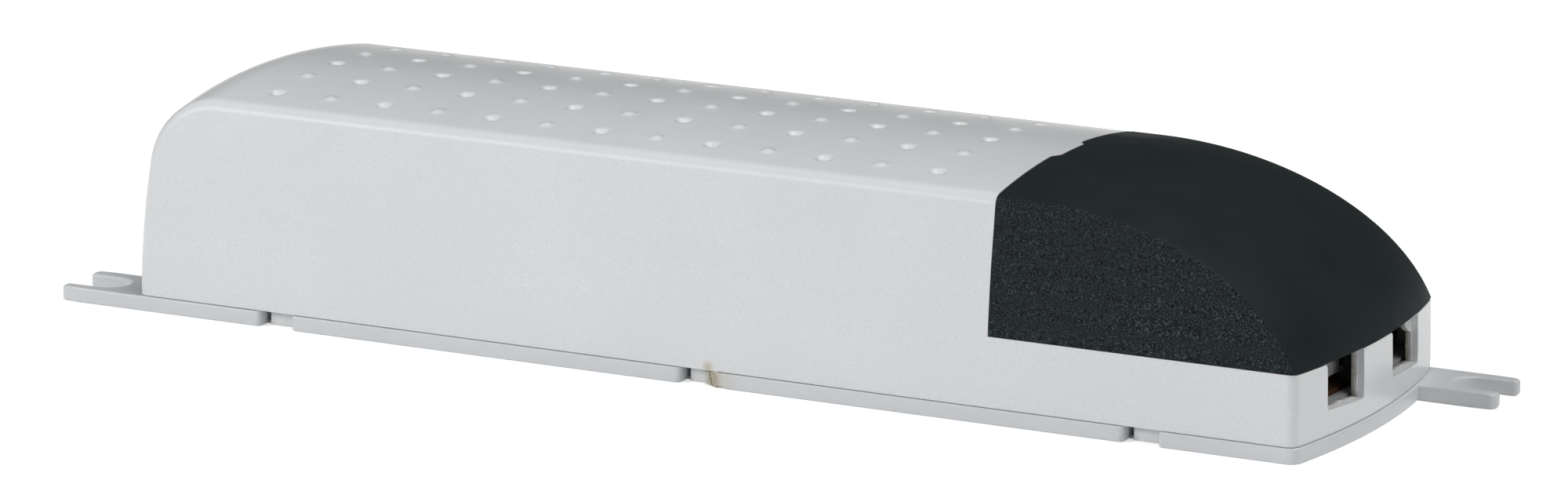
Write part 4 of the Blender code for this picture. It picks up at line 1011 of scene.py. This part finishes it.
def makeCover():
    studRows = clearRows(stud["pitch"] * stud["rows"] / 2, stud["rows"] * stud["cellSteps"])
    body = housingBlank("cover", heelStations(8, 20) + topStations() + endStations(), studRows, 0)
    roundEdges(body, cover["edge"], cover["edgeSegments"])
    wall, far = cover["wall"], housing["far"]
    foot = housing["flange"] + cover["footGap"]
    combine(body, "DIFFERENCE", coverBlank("hollow", wall))
    combine(body, "DIFFERENCE", addBox("footCut", (-far, -far, -far), (far, far, foot)))
    face = cover["seam"] - cover["partitionSetback"]
    partition = coverBlank("partition", wall / 2)
    back = face - cover["partitionThickness"]
    span = addBox("span", (back, -far, cover["partitionFoot"]), (face, far, far))
    combine(body, "UNION", combine(partition, "INTERSECT", span))
    inner = housing["sideReach"] - wall
    for side in (-1, 1):
        lowY, highY = pair(side, inner - cover["ledgeReach"], inner + wall / 2)
        combine(body, "UNION", addBox(
            "ledge", (cover["ledgeX"] - cover["ledgeHalf"], lowY, cover["ledgeBottom"]),
            (cover["ledgeX"] + cover["ledgeHalf"], highY, cover["ledgeBottom"] + cover["ledgeHeight"]),
        ))
        for step in (-1, 0, 1):
            combine(body, "UNION", snapLeg(side, step * cover["notchSpacing"]))
    combine(body, "DIFFERENCE", baySpace("bay", cover["seam"] - cover["seamGap"] / 2, cover["lowWallTop"]))
    cutEntries(body)
    letInStuds(body)
    finishPiece(body, "coverShell", "housing_plastic", ["top_cover"])


# Wire entries: a clean recess in a thinned stretch of the end wall, and the torn opening of the knock-out

entry = {
    "mains": {
        "sides": (-14.3 * mm, -5.2 * mm),
        "sill": (0.0, 0.2, 0.4, 0.3, 0.05),
        "side": ((0.12, 6.5), (0.06, 8.5)),
    },
    "lamp": {
        "sides": (3.5 * mm, 13.4 * mm),
        "sill": (0.2, 0.35, 0.4, 0.3, 0.05),
        "side": ((0.08, 6.4), (0.04, 7.9), (1.4, 8.4), (2.4, 8.9), (2.8, 9.8)),
    },
    "sillHeight": 4.85 * mm,
    "fall": 0.5 * mm,
    "corner": 0.5 * mm,
    "wall": 1.5 * mm,
    "recess": 0.8 * mm,
    "margin": 1.5 * mm,
    "torn": 0.1 * mm,
    "ragged": 0.09 * mm,
    "raggedSteps": 6,
    "inside": 6 * mm,
}


def raggedLine(points, steps, depth, seed):
    # Break each stretch of a line into short uneven ones
    chance = random.Random(seed)
    line = []
    for before, after in zip(points, points[1:]):
        for i in range(steps):
            part = i / steps
            shift = chance.uniform(-depth, depth) if i else 0
            lift = chance.uniform(-depth, depth) if i else 0
            line.append((before[0] + (after[0] - before[0]) * part + shift * 0.5,
                         before[1] + (after[1] - before[1]) * part + lift))
    return line + [points[-1]]


def entryOutline(name, torn):
    values = entry[name]
    start, end = values["sides"]
    corner, low = entry["corner"], cover["lowWallTop"]
    top = low + mm
    if torn:
        start, end = start + entry["torn"], end - entry["torn"]

    def sill(y):
        return entry["sillHeight"] - entry["fall"] * (y - start) / (end - start)

    shoulder = [(start - corner, top)] + arcPoints((start - corner, low - corner), corner, 90, 0, 4)
    if not torn:
        left = arcPoints((start + corner, sill(start) + corner), corner, 180, 270, 4)
        right = arcPoints((end - corner, sill(end) + corner), corner, 270, 360, 4)
        return shoulder + left + right + [(end, top)]
    rises = values["sill"]
    line = []
    for i, rise in enumerate(rises):
        y = start + (end - start) * i / (len(rises) - 1)
        line.append((y, sill(y) + rise * mm))
    line += [(end - inset * mm, z * mm) for inset, z in values["side"]]
    line = raggedLine(line, entry["raggedSteps"], entry["ragged"], len(name))
    return shoulder + line + [(line[-1][0], top)]


def cutEntries(body):
    inside = housing["endReach"] - entry["inside"]
    reach, low = housing["endReach"], cover["lowWallTop"]
    for name in ("mains", "lamp"):
        start, end = entry[name]["sides"]
        margin = entry["margin"]
        thinned = coverBlank("thinned", entry["wall"])
        combine(thinned, "INTERSECT", addBox(
            "marginBox", (inside, start - margin, entry["sillHeight"] - entry["fall"] - margin),
            (reach, end + margin, low + mm),
        ))
        recess = addPrism("recess", entryOutline(name, False), "X", inside, reach + mm)
        combine(recess, "DIFFERENCE", coverBlank("web", entry["recess"]))
        knockOut = addPrism("knockOut", entryOutline(name, True), "X", inside - mm, reach + 2 * mm)
        combine(body, "DIFFERENCE", thinned, recess, knockOut)


# Cap over the wiring bay

cap = {
    "wall": 1.8 * mm,
    "edge": 0.3 * mm,
    "edgeSegments": 3,
    "noseLength": 37.3 * mm,
    "noseDrop": 23.4 * mm,
    "nosePast": 1.0 * mm,
    "noseEnd": 88,
    "rowReach": 18 * mm,
    "behind": 8 * mm,
    "belowLip": 4 * mm,
    "lipGap": 0.15 * mm,
    "armHalf": 3.0 * mm,
    "armThickness": 1.5 * mm,
    "armFoot": 5.6 * mm,
    "armRise": 9.0 * mm,
    "webRise": 4.0 * mm,
    "webInset": 0.3 * mm,
    "barbHeight": 1.6 * mm,
    "tongueHalf": 3.0 * mm,
    "tongueThickness": 1.4 * mm,
    "tongueFoot": 5.6 * mm,
    "tongueRise": 3.0 * mm,
    "innerEdge": 0.15 * mm,
    "sliver": 0.02 * mm,
}


def noseStations(steps):
    behind = cover["seam"] - cap["behind"]
    start = housing["endReach"] + cap["nosePast"] - cap["noseLength"]
    centreZ = housing["height"] - cap["noseDrop"]
    stations = [(behind, cover["lowWallTop"] - cap["belowLip"], -1, 0), (behind, housing["height"], 0, 1)]
    for i in range(steps + 1):
        a = math.radians(cap["noseEnd"]) * i / steps
        across, up = math.sin(a) / cap["noseLength"], math.cos(a) / cap["noseDrop"]
        size = math.hypot(across, up)
        stations.append((start + cap["noseLength"] * math.sin(a), centreZ + cap["noseDrop"] * math.cos(a),
                         across / size, up / size))
    return stations


def makeCap():
    body = housingBlank("cap", noseStations(60), clearRows(cap["rowReach"], 48), 0)
    roundEdges(body, cap["edge"], cap["edgeSegments"])
    combine(body, "DIFFERENCE", housingBlank("capHollow", noseStations(24), evenRows(16), cap["wall"]))
    lip = cover["lowWallTop"] + cap["lipGap"]
    combine(body, "INTERSECT", baySpace("capSpace", cover["seam"] + cover["seamGap"] / 2, lip))
    armFace = housing["sideReach"] - cover["wall"] - cover["ledgeReach"] - housing["seatGap"]
    armCore = armFace - cap["armThickness"] / 2
    cheek = housing["sideReach"] - barrel(lip + cap["armRise"]) - cap["wall"] / 2
    left, right = cover["ledgeX"] - cap["armHalf"], cover["ledgeX"] + cap["armHalf"]
    barbTop = cover["ledgeBottom"] - housing["seatGap"]
    barbFoot = barbTop - cap["barbHeight"]
    for side in (-1, 1):
        low, high = pair(side, armFace, armFace - cap["armThickness"])
        arm = addBox("arm", (left, low, cap["armFoot"]), (right, high, lip + cap["armRise"]))
        roundEdges(arm, cap["innerEdge"], 2)
        barb = addPrism("barb", [
            (side * armCore, barbFoot), (side * armFace, barbFoot),
            (side * (armFace + cover["ledgeReach"]), barbTop), (side * armCore, barbTop),
        ], "X", left + cap["webInset"], right - cap["webInset"])
        low, high = pair(side, armCore, cheek)
        inset = 2 * cap["webInset"]
        web = addBox("web", (left + inset, low, lip + cap["webRise"]),
                     (right - inset, high, lip + cap["armRise"] - inset))
        combine(body, "UNION", arm, barb, web)
    face = housing["endReach"] - cover["wall"] - housing["seatGap"] - barrel(cover["lowWallTop"])
    tongue = addBox("tongue", (face - cap["tongueThickness"], -cap["tongueHalf"], cap["tongueFoot"]),
                    (face, cap["tongueHalf"], lip + cap["tongueRise"]))
    roundEdges(tongue, cap["innerEdge"], 2)
    combine(body, "UNION", tongue)
    mergePoints(body, cap["sliver"])
    finishPiece(body, "capShell", "cap_plastic", ["terminal_cap"])


# Base plate with its fixing ears

base = {
    "sideReach": 21.65 * mm,
    "endReach": 77.3 * mm,
    "corner": 1.6 * mm,
    "edge": 0.42 * mm,  # on the ears
    "flangeEdgeShare": 0.45,
    "earFrom": 77.6 * mm,
    "edgeSegments": 4,
    "notchWidth": 4.3 * mm,
    "notchDepth": 2.2 * mm,
    "pocketFoot": 0.35 * mm,
    "pocketEnd": 17.6 * mm,
    "notchCorner": 0.6 * mm,
    "rimThickness": 1.2 * mm,
    "rimTop": 4.6 * mm,
    "earReach": 86.05 * mm,
    "earWidth": 9.05 * mm,
    "outerArm": 1.85 * mm,
    "earCorner": 0.85 * mm,
    "slotWidth": 5.2 * mm,
    "slotBottom": 79.2 * mm,
    "mouth": 0.5 * mm,
    "pillarRadius": 2.2 * mm,
    "pinRadius": 1.0 * mm,
    "boardBottom": 3.4 * mm,
    "boardTop": 5.0 * mm,
    "bossRadius": 1.9 * mm,
    "boreRadius": 1.55 * mm,
    "clampX": 69.5 * mm,
    "clampBottom": 6.3 * mm,
    "screwSpacing": 10.6 * mm,
}

pillarPlaces = [(-66 * mm, -12 * mm), (-66 * mm, 12 * mm), (-2 * mm, -15 * mm), (30 * mm, 15 * mm)]

# Where the moulding was broken off its gate, in the right half of the middle notch at the front
gate = {
    "left": 0.5 * mm,
    "right": 2.85 * mm,
    "low": 0.02 * mm,
    "high": 1.95 * mm,
    "back": -20.28 * mm,
    "front": -21.62 * mm,
    "steps": 28,
    "rough": 0.16 * mm,
    "crackDepth": 0.28 * mm,
    "crackWidth": 0.075 * mm,
    "crack": [(1.35, 2.0), (1.5, 1.5), (1.42, 1.2), (1.75, 0.85), (1.85, 0.4), (1.95, 0.0)],
    "wear": 0.6 * mm,
    "wearShape": (1.5, 0.8, 0.75),
    "wearRough": 0.35,
    "slopeRise": 1.25,
    "joinFrom": 0.86,  # the share of the width from which the face runs into the flange
    "joinDepth": 0.1 * mm,
    "undercut": 0.22 * mm,
    "undercutShare": 0.15,
    "waver": 0.05 * mm,
}


def flangeHalf():
    # The front and the wiring end; the other half is the same, turned round
    side, deep = base["sideReach"], base["sideReach"] - base["notchDepth"]
    earRound = base["earCorner"]
    points = arcPoints((-base["earReach"] + earRound, -side + earRound), earRound, 180, 270, 8)
    for step in (-1, 0, 1):
        x, r = step * cover["notchSpacing"], base["notchCorner"]
        left, right = x - base["notchWidth"] / 2, x + base["notchWidth"] / 2
        points += arcPoints((left - r, -side + r), r, 270, 360, 5)
        points += [(left, -deep), (right, -deep)]
        points += arcPoints((right + r, -side + r), r, 180, 270, 5)
    r = base["corner"]
    points += arcPoints((base["endReach"] - sag(side - r) - r, -side + r), r, 270, 350, 8)
    earFoot = side - base["earWidth"]
    bowSteps = 24
    for i in range(1, bowSteps + 1):
        y = -side + r + (earFoot + side - r) * i / bowSteps
        points.append((base["endReach"] - sag(y), y))
    slotY, half = side - base["outerArm"] - base["slotWidth"] / 2, base["slotWidth"] / 2
    reach, mouth = base["earReach"], base["mouth"]
    points += arcPoints((reach - earRound, earFoot + earRound), earRound, 270, 360, 8)
    points += arcPoints((reach - mouth, slotY - half - mouth), mouth, 0, 90, 4)
    points += arcPoints((base["slotBottom"] + half, slotY), half, 270, 90, 24)
    points += arcPoints((reach - mouth, slotY + half + mouth), mouth, 270, 360, 4)
    return points


def bowedOutline(side, end):
    steps = 20
    rows = [side * (2 * i / steps - 1) for i in range(steps + 1)]
    right = [(end - sag(y), y) for y in rows]
    return right + [(-x, -y) for x, y in right]


def nearCrack(x, z):
    # Distance from the crack's broken line
    least = 1.0
    for before, after in zip(gate["crack"], gate["crack"][1:]):
        a, b = Vector(before) * mm, Vector(after) * mm
        part = max(0, min(1, (Vector((x, z)) - a).dot(b - a) / (b - a).length_squared))
        least = min(least, (Vector((x, z)) - a.lerp(b, part)).length)
    return least


def gateLump():
    # A rough wedge in front of the leg, its face pushed in and out
    steps = gate["steps"]
    deselectAll()
    bpy.ops.mesh.primitive_grid_add(x_subdivisions=steps, y_subdivisions=steps, size=2)
    lump = bpy.context.object
    width, height = gate["right"] - gate["left"], gate["high"] - gate["low"]
    for vertex in lump.data.vertices:
        part, up = (vertex.co.x + 1) / 2, (vertex.co.y + 1) / 2
        x, z = gate["left"] + width * part, gate["low"] + height * up
        slope = min(1, part * gate["slopeRise"])
        y = gate["back"] + (gate["front"] - gate["back"]) * slope
        place = Vector((x, z, 0)) / mm
        y += gate["rough"] * slope * (noise.fractal(place * 1.3, 0.7, 2.0, 4) + 0.25)
        closeness = nearCrack(x, z) / gate["crackWidth"]
        y += gate["crackDepth"] * max(0, 1 - closeness)
        inFlange = max(0, part - gate["joinFrom"]) / (1 - gate["joinFrom"])
        y = y * (1 - inFlange) + (gate["front"] + gate["joinDepth"]) * inFlange
        foot = max(0, 1 - up / gate["undercutShare"]) * gate["undercut"] * slope
        aside = gate["waver"] * noise.noise(place * 3) * (1 - part)
        vertex.co = (x + aside, min(y + foot, gate["back"] + gate["waver"]), z)
    editAll(lump)
    extrude((0, 0.8 * mm, 0))
    mesh = bmesh.from_edit_mesh(lump.data)
    for vertex in mesh.verts:
        if vertex.select:
            vertex.co.y = gate["back"] + gate["joinDepth"]
    bmesh.update_edit_mesh(lump.data)
    endEdit()
    facesOut(lump)
    return lump


def wornCorner():
    # The ragged bite out of the lower corner beside the gate
    deselectAll()
    bpy.ops.mesh.primitive_ico_sphere_add(subdivisions=4, radius=1)
    bite = bpy.context.object
    centre = Vector((gate["right"], gate["front"] - gate["joinDepth"], -gate["joinDepth"]))
    for vertex in bite.data.vertices:
        way = vertex.co.normalized()
        reach = gate["wear"] * (1 + gate["wearRough"] * noise.fractal(way * 2.2, 0.8, 2.0, 3))
        vertex.co = centre + way * Vector(gate["wearShape"]) * reach
    return bite


def roundFlange(body):
    # The ears are rounded more than the long rim of the flange
    middle = housing["flange"] / 2

    def level(edge):
        heights = [vertex.co.z - middle for vertex in edge.verts]
        return heights[0] * heights[1] > 0

    def onEar(edge):
        return min(abs(vertex.co.x) for vertex in edge.verts) >= base["earFrom"]

    for ears, share in ((False, base["flangeEdgeShare"]), (True, 1.0)):
        startEdit(body, "EDGE")
        pick(body, "EDGE", lambda edge: level(edge) and onEar(edge) == ears)
        bpy.ops.transform.edge_bevelweight(value=share)
        endEdit()
    roundEdges(body, base["edge"], base["edgeSegments"], "WEIGHT")


def clampPlaces():
    # The screws of the two cable clamps
    for name in ("mains", "lamp"):
        middle = sum(entry[name]["sides"]) / 2
        for way in (-1, 1):
            yield base["clampX"], middle + way * base["screwSpacing"] / 2


def releasePocket(side, x):
    # Beside each leg a pocket runs in under the rim, where a blade lets the leg go
    reach = cover["notchHalf"]
    lowX, highX = sorted((x + side * reach, x + side * cover["legExtra"]))
    lowY, highY = pair(side, base["pocketEnd"], base["sideReach"] - mm)
    return addBox("pocket", (lowX, lowY, base["pocketFoot"]), (highX, highY, housing["flange"] + 2 * mm))


def makeBase():
    half = flangeHalf()
    flange = housing["flange"]
    body = addPrism("base", half + [(-x, -y) for x, y in half], "Z", 0, flange)
    roundFlange(body)
    combine(body, "UNION", gateLump())
    combine(body, "DIFFERENCE", wornCorner())
    root = flange - mm
    side = housing["sideReach"] - cover["wall"] - housing["seatGap"]
    end = housing["endReach"] - cover["wall"] - housing["seatGap"]
    rim = addPrism("rim", bowedOutline(side, end), "Z", root, base["rimTop"])
    thin = base["rimThickness"]
    combine(rim, "DIFFERENCE", addPrism("rimHollow", bowedOutline(side - thin, end - thin), "Z",
                                        root - mm, base["rimTop"] + mm))
    combine(body, "UNION", rim)
    for side in (-1, 1):
        for step in (-1, 0, 1):
            combine(body, "DIFFERENCE", releasePocket(side, step * cover["notchSpacing"]))
    for x, y in pillarPlaces:
        top = base["boardBottom"] - housing["seatGap"]
        combine(body, "UNION", addRod("pillar", base["pillarRadius"], (x, y, root), (x, y, top)),
                addRod("pin", base["pinRadius"], (x, y, root), (x, y, base["boardTop"]), 24))
    for x, y in clampPlaces():
        top = base["clampBottom"] - housing["seatGap"]
        boss = addRod("boss", base["bossRadius"], (x, y, root), (x, y, top))
        bore = addRod("bore", base["boreRadius"], (x, y, flange + mm / 3), (x, y, top + mm))
        combine(boss, "DIFFERENCE", bore)
        combine(body, "UNION", boss)
    finishPiece(body, "basePlate", "base_plastic", ["base_plate"], 40)


# Circuit board: its wiring end follows the bow of the housing

board = {
    "strip": 71.0 * mm,
    "stripHalf": 15.0 * mm,
    "endGap": 0.3 * mm,
    "clearance": 2.15 * mm,
    "weld": 0.001 * mm,
}


def makeBoard():
    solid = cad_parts["circuit_board"]
    body = bpy.data.objects.new("circuitBoard", solid.data.copy())
    intoScene(body)
    mergePoints(body, board["weld"])
    # The strip carries the brown board out to the end wall, partly as real board and partly as a dark
    # sheet painting the shade seen through the wire entries
    end = housing["endReach"] - cover["wall"] - housing["seatGap"] - base["rimThickness"] - board["endGap"]
    steps = 12
    rows = [board["stripHalf"] * (2 * i / steps - 1) for i in range(steps + 1)]
    outline = [(end - sag(y), y) for y in rows] + [(board["strip"], rows[-1]), (board["strip"], rows[0])]
    combine(body, "UNION", addPrism("strip", outline, "Z", base["boardBottom"], base["boardTop"]))
    for x, y in clampPlaces():
        top = base["rimTop"] + 2 * mm
        combine(body, "DIFFERENCE", addRod("clear", board["clearance"], (x, y, 0), (x, y, top)))
    finishPiece(body, "circuitBoard", "board_laminate", ["circuit_board"])


makeCover()
makeCap()
makeBase()
makeBoard()


# The solids that keep their own shape take these finishes

nodeFinishes = {
    "housing_plastic": ["top_cover"],
    "base_plastic": ["base_plate"],
    "cap_plastic": ["terminal_cap"],
    "board_laminate": ["circuit_board"],
    "terminal_plastic": ["terminal_block"],
    "clamp_plastic": ["mains_cable_clamp"],
    # The lamp cable clamp takes the black bobbin finish: a dark part standing for the shade in the lamp
    # entry, painted shade
    "bobbin_plastic": ["lamp_cable_clamp", "transformer_bobbin"],
    "brass": ["terminal_cage"],
    "zinc_steel": ["screw", "transistor_clip"],
    "fuse_ceramic": ["input_fuse"],
    "varistor_blue": ["varistor"],
    "film_yellow": ["suppression_capacitor"],
    "film_red": ["bridge_capacitor"],
    "resistor_tan": ["start_capacitor", "resistor"],
    "epoxy_black": ["diode", "power_transistor"],
    "aluminium": ["heat_spreader"],
    "coated_core": ["choke_core"],
    "copper_wire": ["choke_winding", "drive_transformer_winding", "transformer_primary_winding"],
    "ferrite": ["drive_transformer_core", "transformer_core"],
    "secondary_sleeve": ["transformer_secondary_winding"],
}


def finishSolids():
    # The longest word that fits a solid's name decides
    words = {word: finish for finish, group in nodeFinishes.items() for word in group}
    for name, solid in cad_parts.items():
        finish = words[max((word for word in words if word in name), key=len)]
        solid.data.materials.clear()
        solid.data.materials.append(materials[finish])


finishSolids()
print("stage: solids finished")
